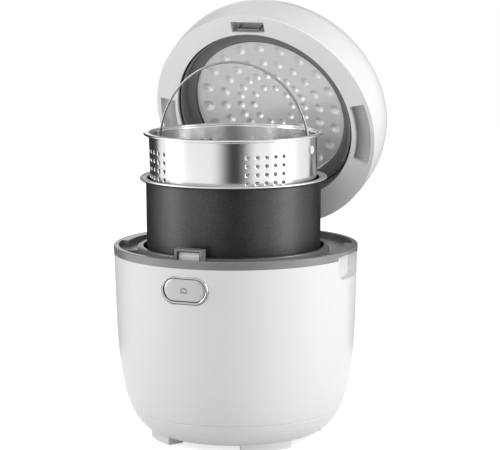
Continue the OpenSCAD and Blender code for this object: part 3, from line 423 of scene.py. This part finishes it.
def metals(tone, axis):
    """Brushed finishes, in the same order; the streaks of centred ones run round the pot's axis."""
    whole, centred = {"Metallic": 1.0}, {"Centre": axis}
    return {
        "chrome_trim": ((0.42,) * 3, 0.12, {"Spread": 0.04, "Shade": 0.04}, whole, 0.02),
        "aluminium_plate": (tone.plate_silver, 0.37, {"Shade": 0.04, **centred}, {"Metallic": 0.40}, 0.04),
        "sheet_steel": ((0.30,) * 3, 0.4, centred, whole, 0.06),
        "basket_steel": (tone.steel, 0.20, {"Shade": 0.05, "Spread": 0.03, **centred}, whole, 0.05),
        # Painted shade: a darker copy of the basket's steel, so the handle's wire reads darker
        "wire_steel": ((0.34,) * 3, 0.18, {"Shade": 0.06, **centred}, whole, 0.03),
        # Painted glint: a paler, near-white copy of the basket's steel for the rivets' heads
        "rivet_steel": ((0.93,) * 3, 0.35, {"Shade": 0.02}, {"Metallic": 0.35}, 0.02),
        "element_grey": ((0.12, 0.115, 0.11), 0.5, centred, {"Metallic": 0.6}, 0.2),
        "pin_brass": ((0.72, 0.56, 0.28), 0.25, {}, whole, 0.04),
    }


def coats(tone, bare_above):
    """The non-stick coat, in the same order."""
    flecks = {"Fleck": (0.18, 0.18, 0.18, 1), "Scale": 1700.0, "Bare Above": bare_above}
    sheen = {"Metallic": 0.9, "Specular Tint": (0.5, 0.5, 0.5, 1)}
    return {"nonstick": (tone.coat_dark, 0.42, flecks, sheen, 0.2)}


def make_materials(scene):
    """Every finish by its slot's name; the cover's colour passes through the painted depth shade."""
    tone, pot = scene.cooker_finishes, scene.cooker_pot
    families = ((moulded_group(), plastics(tone)), (brushed_group(), metals(tone, (0, pot.pot_y, 0))),
                (speckled_group(), coats(tone, pot.pot_rim_z + 0.1 * MM)))
    made = {slot: finish(slot, group, *row) for group, rows in families for slot, row in rows.items()}
    tree = made["pale_cover"].node_tree
    shade = put(tree, "ShaderNodeGroup", node_tree=recess_painted_shade_group(scene.cooker_lid, scene.cooker_body))
    base = tree.nodes["Principled BSDF"].inputs["Base Color"]
    join(tree, (base.links[0].from_socket, shade.inputs["Colour"]), (shade.outputs["Colour"], base))
    return made


def finish_of(slot):
    return bpy.data.materials["cooker_" + slot]


def dress(node, material):
    """Gives a CAD node its finish through its own material slots."""
    thing = frame["nodes"][node]
    if not thing.material_slots:
        thing.data.materials.append(material)
    for socket in thing.material_slots:
        socket.material = material


# ---------- surface helpers ----------
def rounded(corners, radii, steps=6):
    """A path through corners in millimetres, each turned by an arc of its own radius, tangent to both sides.

    An arc takes up at most 0.45 of a side, and a corner that is nearly straight stays as it is.
    """
    corners = [np.array(c, float) for c in corners]
    path = [corners[0][None]]
    for before, here, after, radius in zip(corners, corners[1:], corners[2:], radii):
        a, b = before - here, after - here
        la, lb = np.linalg.norm(a), np.linalg.norm(b)
        a, b = a / la, b / lb
        half = math.acos(np.clip(a @ b, -1, 1)) / 2
        if radius <= 0 or half > 1.55:
            path.append(here[None])
            continue
        back = min(radius / math.tan(half), 0.45 * la, 0.45 * lb)
        radius = back * math.tan(half)
        centre = here + (a + b) / np.linalg.norm(a + b) * radius / math.sin(half)
        start, end = here + a * back - centre, here + b * back - centre
        t = np.linspace(0, 1, steps + 1)[:, None]
        sweep = math.pi - 2 * half
        path.append(centre + (start * np.sin((1 - t) * sweep) + end * np.sin(t * sweep)) / math.sin(sweep))
    path.append(corners[-1][None])
    return np.concatenate(path) * MM


def arc(cx, cz, radius, start, end, n):
    """Points on a circle round (cx, cz): angles in degrees, from +radius towards +height."""
    a = np.radians(np.linspace(start, end, n + 1))
    return np.stack([cx + radius * np.cos(a), cz + radius * np.sin(a)], -1)


def box_path(inner, outer, low, high):
    """The outline of a square-cut ring: outward below, up, inward above and down again."""
    return np.array([[inner, low], [outer, low], [outer, high], [inner, high], [inner, low]])


def whole_turn(n):
    return np.arange(n) * TURN / n


def around(radius, angles, height, y=0.0):
    """Points round an upright axis: x = r sin a, y = y0 - r cos a, z = h."""
    radius, angles, height = np.broadcast_arrays(radius, angles, height)
    return np.stack([radius * np.sin(angles), y - radius * np.cos(angles), height], -1)


def turned(path, angles, y=0.0):
    """A (radius, height) path carried round an upright axis."""
    return around(path[:, :1], np.asarray(angles)[None], path[:, 1:], y)


def faces_of(grid, rows=False, columns=False):
    """The four-sided faces between neighbouring rows and columns of a grid, which may wrap round."""
    n, m = grid.shape[:2]
    i = np.arange(n if rows else n - 1)[:, None]
    j = np.arange(m if columns else m - 1)[None]
    i2, j2 = (i + 1) % n, (j + 1) % m
    return np.stack([i * m + j, i * m + j2, i2 * m + j2, i2 * m + j], -1).reshape(-1, 4)


def joined(*grids):
    """Points and faces of several grids, each with columns that wrap round."""
    starts = np.cumsum([0] + [grid.shape[0] * grid.shape[1] for grid in grids])
    faces = [faces_of(grid, columns=True) + start for grid, start in zip(grids, starts)]
    return np.concatenate([grid.reshape(-1, 3) for grid in grids]), np.concatenate(faces)


def add_mesh(name, points, faces, material, smooth_to=32.0):
    """Welds points that coincide, drops faces that fold to nothing, and makes the object at the origin."""
    points = points.reshape(-1, 3)
    _, first, index = np.unique(np.round(points / WELD).astype(np.int64), axis=0, return_index=True,
                                return_inverse=True)
    faces = index.reshape(-1)[faces]
    apart = np.roll(faces, -1, 1) != faces
    kept = apart.sum(1) >= 3
    mesh = bpy.data.meshes.new(name)
    mesh.from_pydata(points[first], [], [face[own].tolist() for face, own in zip(faces[kept], apart[kept])])
    mesh.polygons.foreach_set("use_smooth", np.ones(len(mesh.polygons), bool))
    mesh.update()
    mesh.set_sharp_from_angle(angle=math.radians(smooth_to))
    thing = bpy.data.objects.new(name, mesh)
    bpy.context.scene.collection.objects.link(thing)
    thing.data.materials.append(material)
    return thing


def closed_turn(name, path, material, y=0.0, n=FINE_TURN, place=None):
    """A closed (radius, height) outline, run outward below and inward above, carried round the axis at y."""
    grid = turned(path, whole_turn(n), y)
    ends_meet = path[0, 0] == 0 or np.allclose(path[0], path[-1])
    faces = faces_of(grid, rows=not ends_meet, columns=True)
    return add_mesh(name, place(grid) if place else grid, faces, material)


def opened(points):
    """Turns points of the shut lid by the opening angle about the hinge line."""
    lid, body = bpy.context.scene.cooker_lid, bpy.context.scene.cooker_body
    c, s = math.cos(lid.open_angle), math.sin(lid.open_angle)
    hinge_z = body.rim_z + lid.hinge_up
    x, y, z = np.moveaxis(points, -1, 0)
    y, z = y - lid.hinge_y, z - hinge_z
    return np.stack([x, lid.hinge_y + y * c + z * s, hinge_z - y * s + z * c], -1)


def in_inner_lid(points):
    """Places points of the inner lid's own frame: leant about X, raised to the gasket's face, and opened."""
    lid, pot, body = (getattr(bpy.context.scene, n) for n in ("cooker_lid", "cooker_pot", "cooker_body"))
    c, s = math.cos(lid.inner_tilt), math.sin(lid.inner_tilt)
    x, y, z = np.moveaxis(points, -1, 0)
    return opened(np.stack([x, pot.pot_y + y * c - z * s, body.rim_z + lid.ring_up + y * s + z * c], -1))


def settle(thing, body, slot, *nodes):
    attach(thing, body)
    if nodes:
        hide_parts(*nodes)
    return thing


# ---------- pieces ----------
def dimple_rise(lid, x, y):
    """Dimples: depth cos(q pi/2)^1.4 inside each mouth, q the distance from its middle over its radius."""
    widest, tightest = DIMPLE_RINGS[0][0], DIMPLE_RINGS[-1][0]
    far, bearing = np.hypot(x, y), np.arctan2(y, x)
    rise = 0 * far
    for radius, count in DIMPLE_RINGS:
        share = (radius - tightest) / (widest - tightest)
        mouth = lid.dimple_small + (lid.dimple_big - lid.dimple_small) * share
        across = ((bearing * count / TURN + 0.5) % 1 - 0.5) * TURN / count * far
        q = np.hypot(far - radius * MM, across) / mouth
        rise = rise + lid.dimple_d * np.cos(0.5 * math.pi * np.minimum(q, 1)).clip(0) ** 1.4
    return rise


def gasket_lip(scene):
    """The lip's grid and faces: a bevelled outline over the lowered pot, cut off at the gasket's plane."""
    lid, pot, body = scene.cooker_lid, scene.cooker_pot, scene.cooker_body
    clear, bevel = 0.3 * MM, 0.5 * MM
    foot = body.rim_z + pot.pot_seat + pot.pot_bead + clear
    inner, outer = lid.gasket_ro - 2.8 * MM, lid.gasket_ro - 0.6 * MM
    radius = np.array([inner, inner + bevel, outer - bevel, outer, outer, inner])[:, None]
    rise = np.array([bevel, 0, 0, bevel, 1, 1])[:, None]  # the last two reach the plane and are cut there
    grid = around(radius, np.linspace(lid.lip_gap, TURN - lid.lip_gap, 241) + math.pi, foot + rise, pot.pot_y)
    lean = (grid[..., 1] - pot.pot_y) * math.tan(lid.inner_tilt)
    grid[..., 2] = np.minimum(grid[..., 2], body.rim_z + lid.ring_up + lean + 0.6 * MM)
    n, m = grid.shape[:2]
    ends = [(np.arange(n) * m)[::-1], np.arange(n) * m + m - 1]
    fans = np.array([[end[0], end[i], end[i + 1], end[i + 1]] for end in ends for i in range(1, n - 1)])
    return grid, np.concatenate([faces_of(grid, rows=True), fans])


def cell_edge(n):
    """Points round the edge of a square from -1 to 1, n steps to a side."""
    side, one = np.linspace(-1, 1, n + 1)[:-1], np.ones(n)
    sides = ([side, -one], [one, side], [-side, one], [-one, -side])
    return np.concatenate([np.stack(pair, -1) for pair in sides])


def basket_radius(pot, z):
    """Radius of the basket's wall at a height: it draws in evenly from the rim to the lower corner."""
    bottom = pot.basket_rim_z - pot.basket_h + pot.basket_corner
    return pot.basket_r - pot.basket_taper * (1 - (z - bottom) / (pot.basket_rim_z - bottom))


def hole_rings(pot, middle_a, middle_z):
    """Three rings round a hole, blended over angle and height from the edge of its cell to its circle."""
    edge, blend = cell_edge(CELL), (np.array([1, 2, 3])[:, None, None] / 3) ** 0.8
    circle = edge / np.linalg.norm(edge, axis=1, keepdims=True) * pot.hole_r / np.array([pot.basket_r, 1])
    cell = edge * np.array([pot.hole_step_a, pot.hole_step_z]) / 2
    a, z = np.moveaxis(cell * (1 - blend) + circle * blend, -1, 0)
    return around(basket_radius(pot, middle_z + z), middle_a + a, middle_z + z, pot.pot_y)


def basket_sheet(pot):
    """The wall's points and faces: an outline turned round the axis, its cells filled by rings of holes."""
    top, corner = pot.basket_rim_z, pot.basket_corner
    low, inward = top - pot.basket_h, pot.basket_r - pot.basket_taper - corner
    first = top - pot.hole_first + pot.hole_step_z / 2
    last = first - HOLE_ROWS * pot.hole_step_z
    below = np.linspace(low + corner, last, 6)[1:-1]
    above = np.linspace(first, top - pot.basket_fold, 7)[1:]
    z = np.concatenate([below, np.linspace(last, first, HOLE_ROWS * CELL + 1), above])
    bend = arc(inward, low + corner, corner, -90, 0, 12)
    path = np.concatenate([[[inward - 0.5 * MM, low]], bend, np.stack([basket_radius(pot, z), z], -1)])
    row0 = 1 + len(bend) + len(below)
    half = HOLE_COLUMNS * pot.hole_step_a / 2
    group = np.concatenate([np.linspace(-half, half, HOLE_COLUMNS * CELL + 1)[:-1],
                            np.linspace(half, TURN / HOLE_GROUPS - half, 31)[:-1]])
    middles = pot.hole_turn + (np.arange(HOLE_GROUPS) + 1) * TURN / HOLE_GROUPS
    grid = turned(path, (middles[:, None] + group).ravel(), pot.pot_y)
    m = grid.shape[1]
    faces = faces_of(grid, columns=True)
    i, j = np.divmod(np.arange(len(faces)), m)
    holed = (i >= row0) & (i < row0 + HOLE_ROWS * CELL) & (j % len(group) < HOLE_COLUMNS * CELL)
    points, parts, count = [grid.reshape(-1, 3)], [faces[~holed]], len(grid) * m
    steps = np.round((cell_edge(CELL) + 1) / 2 * CELL).astype(int)
    for g, c, r in np.ndindex(HOLE_GROUPS, HOLE_COLUMNS, HOLE_ROWS):
        rings = hole_rings(pot, middles[g] + (c + 0.5) * pot.hole_step_a - half,
                           last + (r + 0.5) * pot.hole_step_z)
        border = (row0 + r * CELL + steps[:, 1]) * m + g * len(group) + c * CELL + steps[:, 0]
        own = count + np.arange(rings.size // 3).reshape(len(rings), -1)
        loops = np.concatenate([border[None], own])
        after = np.roll(loops, -1, 1)
        parts.append(np.stack([loops[:-1], after[:-1], after[1:], loops[1:]], -1).reshape(-1, 4))
        points.append(rings.reshape(-1, 3))
        count += own.size
    return np.concatenate(points), np.concatenate(parts)


def wire_line(pot, reach):
    """Middle line and outward directions of the wire: two side arcs and a crown, tangent at 45 degrees."""
    shift = (pot.handle_h - reach) / (2 - math.sqrt(2))
    side = reach + shift
    crown = side - shift * math.sqrt(2)
    right = np.linspace(math.asin((pot.rivet_r + 2.0 * MM) / side), TURN / 8, 40)
    turn = np.concatenate([right, np.linspace(TURN / 8, 3 * TURN / 8, 81)[1:-1], math.pi - right[::-1]])
    on_crown = np.abs(turn - TURN / 4) < TURN / 8 - 1e-6
    x = np.where(on_crown, 0, np.where(turn < TURN / 4, -shift, shift))
    z = np.where(on_crown, shift, 0) + pot.basket_rim_z - pot.pivot_drop
    outward = np.stack([np.cos(turn), 0 * turn, np.sin(turn)], -1)
    line = np.stack([x, 0 * x + pot.pot_y, z], -1) + outward * np.where(on_crown, crown, side)[:, None]
    return line, outward


def on_button(u, v, rise):
    """Points (u, v) of the button wrapped on the shell's round face: y = -sqrt((face_r + rise)^2 - u^2)."""
    size, shell = bpy.context.scene.cooker_button, bpy.context.scene.cooker_body
    u, v, rise = np.broadcast_arrays(u, v, rise)
    return np.stack([u, -np.sqrt((size.face_r + rise) ** 2 - u ** 2), shell.rim_z - size.drop + v], -1)


# ---------- operators ----------
class COOKER_OT_finishes(bpy.types.Operator):
    """Makes every finish and gives it to the nodes of the frame"""
    bl_idname = "cooker.finishes"
    bl_label = "Finishes"

    def execute(self, context):
        made = make_materials(context.scene)
        for row in frame["record"]["subparts"]:
            node = row["node"]
            # The rivets take the paler steel, a painted glint, in place of their basket steel
            dress(node, made["rivet_steel" if node == "basket_rivets" else row["material_slot"]])
        return {"FINISHED"}


class COOKER_OT_seam(bpy.types.Operator):
    """Seam: painted shadow, a small grey square outline under the shell's lower edge, carried round the axis
    """
    bl_idname = "cooker.seam"
    bl_label = "Seam"

    def execute(self, context):
        body = context.scene.cooker_body
        # Painted shadow: a grey ring under the shell's overhang stands for the dark line at the seam
        path = box_path(body.seam_r - 0.6 * MM, body.seam_r, body.seam_z - 0.7 * MM, body.seam_z + 0.2 * MM)
        made = closed_turn("seam_line", path, finish_of("button_grey"), n=256)
        settle(made, "base", "button_grey")
        return {"FINISHED"}


class COOKER_OT_inner_plate(bpy.types.Operator):
    """Pressed plate: z = edge + (mid - edge)(1 - (r/R)^2) and its dimples, with a flange, as two faces"""
    bl_idname = "cooker.inner_plate"
    bl_label = "Inner plate"

    def execute(self, context):
        lid = context.scene.cooker_lid
        rows, columns = 94, 480
        edge, outside = lid.gasket_ri - 0.6 * MM, lid.gasket_ro - 4.5 * MM
        r = np.linspace(0, edge, rows)
        bowl = lid.plate_edge + (lid.plate_mid - lid.plate_edge) * (1 - (r / lid.gasket_ri) ** 2)
        flange = [[edge + 0.25 * MM, lid.plate_edge - 0.5 * MM], [edge + 0.7 * MM, lid.gasket_t + 0.3 * MM],
                  [outside - 0.4 * MM, lid.gasket_t + 0.1 * MM], [outside, lid.gasket_t + 0.5 * MM]]
        path = np.concatenate([np.stack([r, bowl], -1), flange])
        face = turned(path, whole_turn(columns))
        face[..., 2] += dimple_rise(lid, face[..., 0], face[..., 1])
        back = face + np.array([0, 0, lid.plate_t])
        grid = in_inner_lid(np.concatenate([face, back[::-1]]))
        made = add_mesh("inner_plate_skin", grid, faces_of(grid, columns=True), finish_of("aluminium_plate"))
        settle(made, "inner_lid", "aluminium_plate", "inner_plate")
        return {"FINISHED"}


class COOKER_OT_gasket(bpy.types.Operator):
    """Gasket: a rounded outline carried round the inner lid, a black ring inside it as painted shadow of the
    recess, and a lip
    """
    bl_idname = "cooker.gasket"
    bl_label = "Gasket"

    def execute(self, context):
        lid = context.scene.cooker_lid
        ri, ro, t = lid.gasket_ri / MM, lid.gasket_ro / MM, lid.gasket_t / MM
        mid = (ri + ro) / 2
        ring = rounded([(ri, t), (ri, 0), (mid - 2, 0.35), (mid + 1, 0.35), (ro - 3, 0), (ro - 2, 0.9),
                        (ro - 1, 0.9), (ro - 0.7, 0), (ro, 0.3), (ro, t), (ri, t)],
                       [1.0, 2, 2, 1, 0.3, 0.3, 0.3, 0.3, 0.2])
        made = closed_turn("gasket_ring", ring, finish_of("gasket"), place=in_inner_lid)
        settle(made, "inner_lid", "gasket", "lid_gasket")
        # Painted shadow: a black ring at the gasket's inner edge stands for the shade in the recess round the
        # plate
        wall = box_path(ri - 0.25, ri + 0.6, 0.5, 4) * MM
        made = closed_turn("gasket_wall", wall, finish_of("black_plastic"), place=in_inner_lid)
        settle(made, "inner_lid", "black_plastic")
        lip, faces = gasket_lip(context.scene)
        made = add_mesh("gasket_lip", opened(lip), faces, finish_of("gasket"))
        settle(made, "inner_lid", "gasket")
        return {"FINISHED"}


class COOKER_OT_inner_pot(bpy.types.Operator):
    """Pot: one outline, outside up to the rolled rim and inside down again, carried round the pot's axis"""
    bl_idname = "cooker.inner_pot"
    bl_label = "Inner pot"

    def execute(self, context):
        pot = context.scene.cooker_pot
        r, t, corner, bead, top = pot.pot_r, pot.pot_t, pot.pot_corner, pot.pot_bead, pot.pot_rim_z
        low, foot = top - pot.pot_h, r - pot.pot_taper
        under, fold = top - 0.6 * MM, 1.2 * MM
        inside_top, lip = top - 0.7 * MM, 1.6 * MM
        bead_from, bead_to = 222, 505.8  # degrees: where it leaves the flange and meets the lip
        step, coin = pot.coin_r - 1 * MM, low + pot.coin_d
        along = np.linspace(0, 1, 24)[:, None]
        outside = np.array([r, under]) * along + np.array([foot, low + corner]) * (1 - along)
        inside = np.array([r - t, inside_top]) * (1 - along) + np.array([foot - t, low + corner]) * along
        path = np.concatenate([
            [[0, coin], [step, coin], [pot.coin_r, low]],
            arc(foot - corner, low + corner, corner, -90, 0, 16)[:-1], outside[:-1],
            arc(r + fold, under - fold, fold, 180, 90, 5),
            arc(pot.pot_rim_r - bead, top, bead, bead_from, bead_to, 34),
            arc(r - t + lip, inside_top, lip, 90, 180, 6), inside[1:-1],
            arc(foot - corner, low + corner, corner - t, 0, -90, 16),
            [[pot.coin_r, low + t], [step, coin + t], [0, coin + t]]])
        made = closed_turn("inner_pot_skin", path, finish_of("nonstick"), pot.pot_y)
        settle(made, "pot", "nonstick", "inner_pot")
        return {"FINISHED"}


class COOKER_OT_basket_wall(bpy.types.Operator):
    """Basket wall: a sheet over (angle, height) with square cells that blend into round holes"""
    bl_idname = "cooker.basket_wall"
    bl_label = "Basket wall"

    def execute(self, context):
        pot = context.scene.cooker_pot
        made = add_mesh("basket_wall_skin", *basket_sheet(pot), finish_of("basket_steel"))
        sheet = made.modifiers.new("sheet", "SOLIDIFY")
        sheet.thickness, sheet.offset = pot.basket_t, -1
        settle(made, "basket", "basket_steel", "basket_wall")
        return {"FINISHED"}


class COOKER_OT_basket_rim(bpy.types.Operator):
    """Basket rim: a folded edge and its bead as one outline, carried round the basket's axis"""
    bl_idname = "cooker.basket_rim"
    bl_label = "Basket rim"

    def execute(self, context):
        pot = context.scene.cooker_pot
        top, bead, inner = pot.basket_rim_z, pot.basket_bead, pot.basket_r - pot.basket_t
        mid, under, fold = pot.basket_rim_r - bead, top - pot.basket_fold, 1.3 * MM
        path = np.concatenate([[[inner, under], [mid - 1.25 * MM, under]], arc(mid, top, bead, 200, 450, 26),
                               arc(inner + fold, top + bead - fold, fold, 90, 180, 8)])
        made = closed_turn("basket_rim_skin", path, finish_of("basket_steel"), pot.pot_y)
        settle(made, "basket", "basket_steel", "basket_rim")
        return {"FINISHED"}


class COOKER_OT_handle(bpy.types.Operator):
    """Handle: a round wire along three arcs that meet smoothly, and a turned eye at each end"""
    bl_idname = "cooker.handle"
    bl_label = "Handle"

    def execute(self, context):
        pot = context.scene.cooker_pot
        face = pot.basket_r - pot.basket_t - 1.2 * MM
        line, outward = wire_line(pot, face - 1.0 * MM)
        b = whole_turn(24)[None, :, None]
        tube = line[:, None] + pot.wire_r * (outward[:, None] * np.cos(b) + np.array([0, 1, 0]) * np.sin(b))
        tube = np.concatenate([line[None, :1].repeat(24, 1), tube, line[None, -1:].repeat(24, 1)])
        hole, rim, thick = pot.rivet_r / MM + 0.06, pot.rivet_r / MM + 2.4, 2.0
        r, x = rounded([(rim, 1), (rim, 0), (hole, 0), (hole, thick), (rim, thick), (rim, 1)],
                       [0.5, 0.2, 0.2, 0.5], 4).T[..., None]
        turn, pivot = whole_turn(48), pot.basket_rim_z - pot.pivot_drop
        eyes = [np.stack([side * (face - thick * MM + x) + 0 * turn, pot.pot_y + side * r * np.cos(turn),
                          pivot + r * np.sin(turn)], -1) for side in (-1, 1)]
        # The wire takes the darker copy of the basket's steel: painted shade
        made = add_mesh("handle_wire", *joined(tube, *eyes), finish_of("wire_steel"))
        settle(made, "handle", "basket_steel", "basket_handle")
        return {"FINISHED"}


class COOKER_OT_button(bpy.types.Operator):
    """Button and bezel: profiles (offset, rise) carried round a stadium, wrapped on the shell's round face,
    with black rings under the gaps as painted shadow
    """
    bl_idname = "cooker.button"
    bl_label = "Open button"

    def pad(self, name, profile, slot, body, *node):
        """Carries a profile round the button's stadium."""
        size = bpy.context.scene.cooker_button
        bend = np.linspace(-0.25, 0.25, 41) * TURN
        t = np.concatenate([bend, bend + TURN / 2])
        middle = np.repeat([0.5, -0.5], len(bend)) * (size.width - size.height)
        out, rise = profile[:, :1], profile[:, 1:]
        grid = on_button(middle + out * np.cos(t), out * np.sin(t), rise)
        made = add_mesh(name, grid, faces_of(grid, columns=True)[:, ::-1], finish_of(slot), 50.0)
        return settle(made, body, slot, *node)

    def mark(self, name, line):
        """A raised stroke: a middle line in millimetres given a square section."""
        line = np.array(line, float)[:, None] * MM
        half, sunk, proud = 0.45 * MM, -0.6 * MM, 0.02 * MM
        rise = bpy.context.scene.cooker_button.rise + np.array([sunk, sunk, proud, proud])
        grid = on_button(line[..., 0], line[..., 1] + np.array([-half, half, half, -half]), rise)
        m = grid.shape[0] * 4
        faces = np.concatenate([faces_of(grid, columns=True), [[3, 2, 1, 0], [m - 4, m - 3, m - 2, m - 1]]])
        return settle(add_mesh(name, grid, faces, finish_of("grey_frame")), "button", "grey_frame")

    def execute(self, context):
        size = context.scene.cooker_button
        edge, lip = size.height / 2 / MM, size.rise / MM
        inner = edge - size.bezel / MM
        bezel = rounded([(inner, -5), (inner, lip - 0.35), (inner + 0.55, lip), (edge - 0.5, lip),
                         (edge, 0.1), (edge, -1.6), (edge - 1.7, -1.6), (edge - 1.7, -5), (inner, -5)],
                        [0.1, 0.3, 0.4, 0.5, 0.1, 0.1, 0.1], 4)
        self.pad("button_bezel_skin", bezel, "chrome_trim", "base", "button_bezel")
        # Painted shadow: a black ring under the bezel's outer edge, a dark line round it
        gap = box_path(edge - 3, edge + 0.4, -0.5, 0.12)[::-1] * MM
        self.pad("button_gap", gap, "black_plastic", "base")
        # Painted shadow: a black ring under the gap between bezel and button
        seat = box_path(inner - 0.48, inner - 0.1, -2.3, -1.3)[::-1] * MM
        self.pad("button_seat", seat, "black_plastic", "base")
        top = inner - 0.55
        face = rounded([(0, lip - 0.1), (top - 2.0, lip - 0.25), (top - 0.3, lip - 0.7), (top, lip - 1.4),
                        (top, -4.6), (0, -4.6)], [3.0, 1.2, 0.5, 0.2], 5)
        self.pad("open_button_skin", face, "button_grey", "button", "open_button")
        self.mark("button_mark_bar", [[-3.4, -2.2], [0, -2.2], [3.4, -2.2]])
        self.mark("button_mark_lid", [[-3.4, -0.4], [-2.0, 1.2], [0, 2.2], [2.0, 1.2], [3.4, -0.4]])
        return {"FINISHED"}


# ---------- stage ----------
def direction(azimuth, elevation):
    """From the axis towards a camera or lamp, its azimuth counted from the front."""
    flat = math.cos(elevation)
    return Vector((math.sin(azimuth) * flat, -math.cos(azimuth) * flat, math.sin(elevation)))


def studio_world(scene):
    """World colour: white where the camera or a reflection sees it, plain grey as a lamp."""
    world = bpy.data.worlds.new("studio")
    scene.world = world
    world.use_nodes = True
    tree = world.node_tree
    back = tree.nodes["Background"]
    back.inputs["Color"].default_value = (1, 1, 1, 1)
    path = put(tree, "ShaderNodeLightPath").outputs
    seen = maths(tree, "MAXIMUM", maths(tree, "MAXIMUM", path["Is Camera Ray"], path["Is Glossy Ray"]),
                 path["Is Transmission Ray"])
    strength = maths(tree, "ADD", maths(tree, "MULTIPLY", seen, 1 - AMBIENT), AMBIENT)
    join(tree, (strength, back.inputs["Strength"]))


def stage_material(name, shade, roughness):
    """A plain grey material, its tree and its shader's inputs."""
    material = bpy.data.materials.new(name)
    material.use_nodes = True
    given = material.node_tree.nodes["Principled BSDF"].inputs
    given["Base Color"].default_value = (shade, shade, shade, 1)
    given["Roughness"].default_value = roughness
    return material, material.node_tree, given


def studio_floor():
    """A floor that glows where the camera sees it, less near the cooker, and more dimly in reflections."""
    material, tree, given = stage_material("stage_floor", 0.6, 0.6)
    given["Emission Color"].default_value = (1, 1, 1, 1)
    path = put(tree, "ShaderNodeLightPath").outputs
    far = put(tree, "ShaderNodeVectorMath", operation="LENGTH")
    join(tree, (object_point(tree), far.inputs[0]))
    fade = ranged(tree, far.outputs["Value"], 0.3, 0.8, 0.72, 1.0)
    seen = maths(tree, "MAXIMUM", maths(tree, "MULTIPLY", path["Is Glossy Ray"], 0.65),
                 maths(tree, "MULTIPLY", path["Is Camera Ray"], fade))
    join(tree, (seen, given["Emission Strength"]))
    corner = np.array([[-1, -1, 0], [1, -1, 0], [1, 1, 0], [-1, 1, 0]]) * FLOOR_HALF
    add_mesh("stage_floor", corner, np.array([[0, 1, 2, 3]]), material)


def lamp(scene, name, power, size, azimuth, elevation, distance, in_reflections):
    data = bpy.data.lights.new(name, "AREA")
    data.energy, data.shape, data.size, data.size_y = power, "RECTANGLE", size[0], size[1]
    thing = bpy.data.objects.new(name, data)
    scene.collection.objects.link(thing)
    back = direction(math.radians(azimuth), math.radians(elevation))
    thing.location = LAMP_AIM + back * distance
    thing.rotation_mode = "QUATERNION"
    thing.rotation_quaternion = (-back).to_track_quat("-Z", "Y")
    thing.visible_glossy = in_reflections


def flag(name, azimuth, width, distance, core):
    """A dark card that only reflections see, with a wedge on the floor before it, clearer at its sides."""
    material, tree, given = stage_material("stage_" + name, 0.02, 0.9)
    a = math.radians(azimuth)
    side = np.array([math.cos(a), math.sin(a), 0])
    across = put(tree, "ShaderNodeVectorMath", {1: side}, operation="DOT_PRODUCT")
    join(tree, (object_point(tree), across.inputs[0]))
    clear = ranged(tree, maths(tree, "ABSOLUTE", across.outputs["Value"]), core * width / 2,
                   width / 2 + 1 * MM, 1.0, 0.0, "SMOOTHSTEP")
    join(tree, (clear, given["Alpha"]))
    middle, half = np.array(direction(a, 0)) * distance, side * width / 2
    near = FLAG_NEAR / distance
    corner = np.array([middle - half, middle + half, middle + half, middle - half,
                       (middle - half) * near, (middle + half) * near])
    corner[:, 2] = np.array([0, 0, FLAG_HEIGHT, FLAG_HEIGHT, 0, 0]).clip(FLAG_LIFT)
    card = add_mesh("stage_" + name, corner, np.array([[0, 1, 2, 3], [4, 5, 1, 0]]), material)
    card.visible_camera = card.visible_diffuse = card.visible_shadow = card.visible_transmission = False


def studio_camera(scene):
    s = scene.cooker_stage
    back = direction(s.azimuth, s.elevation)
    side = Vector((math.cos(s.azimuth), math.sin(s.azimuth), 0))
    camera = bpy.data.objects.new("camera", bpy.data.cameras.new("camera"))
    scene.collection.objects.link(camera)
    camera.data.lens, camera.data.sensor_width = s.lens, 36
    camera.data.clip_start, camera.data.clip_end = 0.05, 50
    camera.location = Vector((0, 0, s.target_z)) + side * s.target_side + back * s.distance
    turn = (-back).to_track_quat("-Z", "Y").to_matrix() @ Matrix.Rotation(s.roll, 3, "Z")
    camera.rotation_mode = "QUATERNION"
    camera.rotation_quaternion = turn.to_quaternion()
    scene.camera = camera


class COOKER_OT_stage(bpy.types.Operator):
    """Makes the world, the floor, the lamps, the dark cards and the camera"""
    bl_idname = "cooker.stage"
    bl_label = "Stage"

    def execute(self, context):
        scene = context.scene
        scene.view_settings.view_transform = "Standard"
        studio_world(scene)
        studio_floor()
        for row in LAMPS:
            lamp(scene, *row)
        for row in FLAGS:
            flag(*row)
        studio_camera(scene)
        return {"FINISHED"}


class COOKER_PT_panel(bpy.types.Panel):
    """Lists the cooker's sizes, finishes and pieces"""
    bl_idname = "COOKER_PT_panel"
    bl_label = "Rice cooker"
    bl_space_type = "VIEW_3D"
    bl_region_type = "UI"
    bl_category = "Cooker"

    def draw(self, context):
        for group in SETTINGS:
            box = self.layout.box()
            for name in SETTINGS[group].__annotations__:
                box.prop(getattr(context.scene, group), name)
        for operator in OPERATORS:
            self.layout.operator(operator.bl_idname)


SETTINGS = {"cooker_body": BodySizes, "cooker_lid": LidSizes, "cooker_pot": PotSizes,
            "cooker_button": ButtonSizes, "cooker_finishes": Finishes, "cooker_stage": StageSettings}
OPERATORS = (COOKER_OT_finishes, COOKER_OT_seam, COOKER_OT_inner_plate, COOKER_OT_gasket, COOKER_OT_inner_pot,
             COOKER_OT_basket_wall, COOKER_OT_basket_rim, COOKER_OT_handle, COOKER_OT_button, COOKER_OT_stage)


def register():
    for made in (*SETTINGS.values(), *OPERATORS, COOKER_PT_panel):
        bpy.utils.register_class(made)
    for name, group in SETTINGS.items():
        setattr(bpy.types.Scene, name, PointerProperty(type=group))


def unregister():
    for name in SETTINGS:
        delattr(bpy.types.Scene, name)
    for made in (COOKER_PT_panel, *reversed(OPERATORS), *reversed(SETTINGS.values())):
        bpy.utils.unregister_class(made)


def main():
    register()
    for operator in OPERATORS:
        group, name = operator.bl_idname.split(".")
        getattr(getattr(bpy.ops, group), name)()


if __name__ == "__main__":
    main()
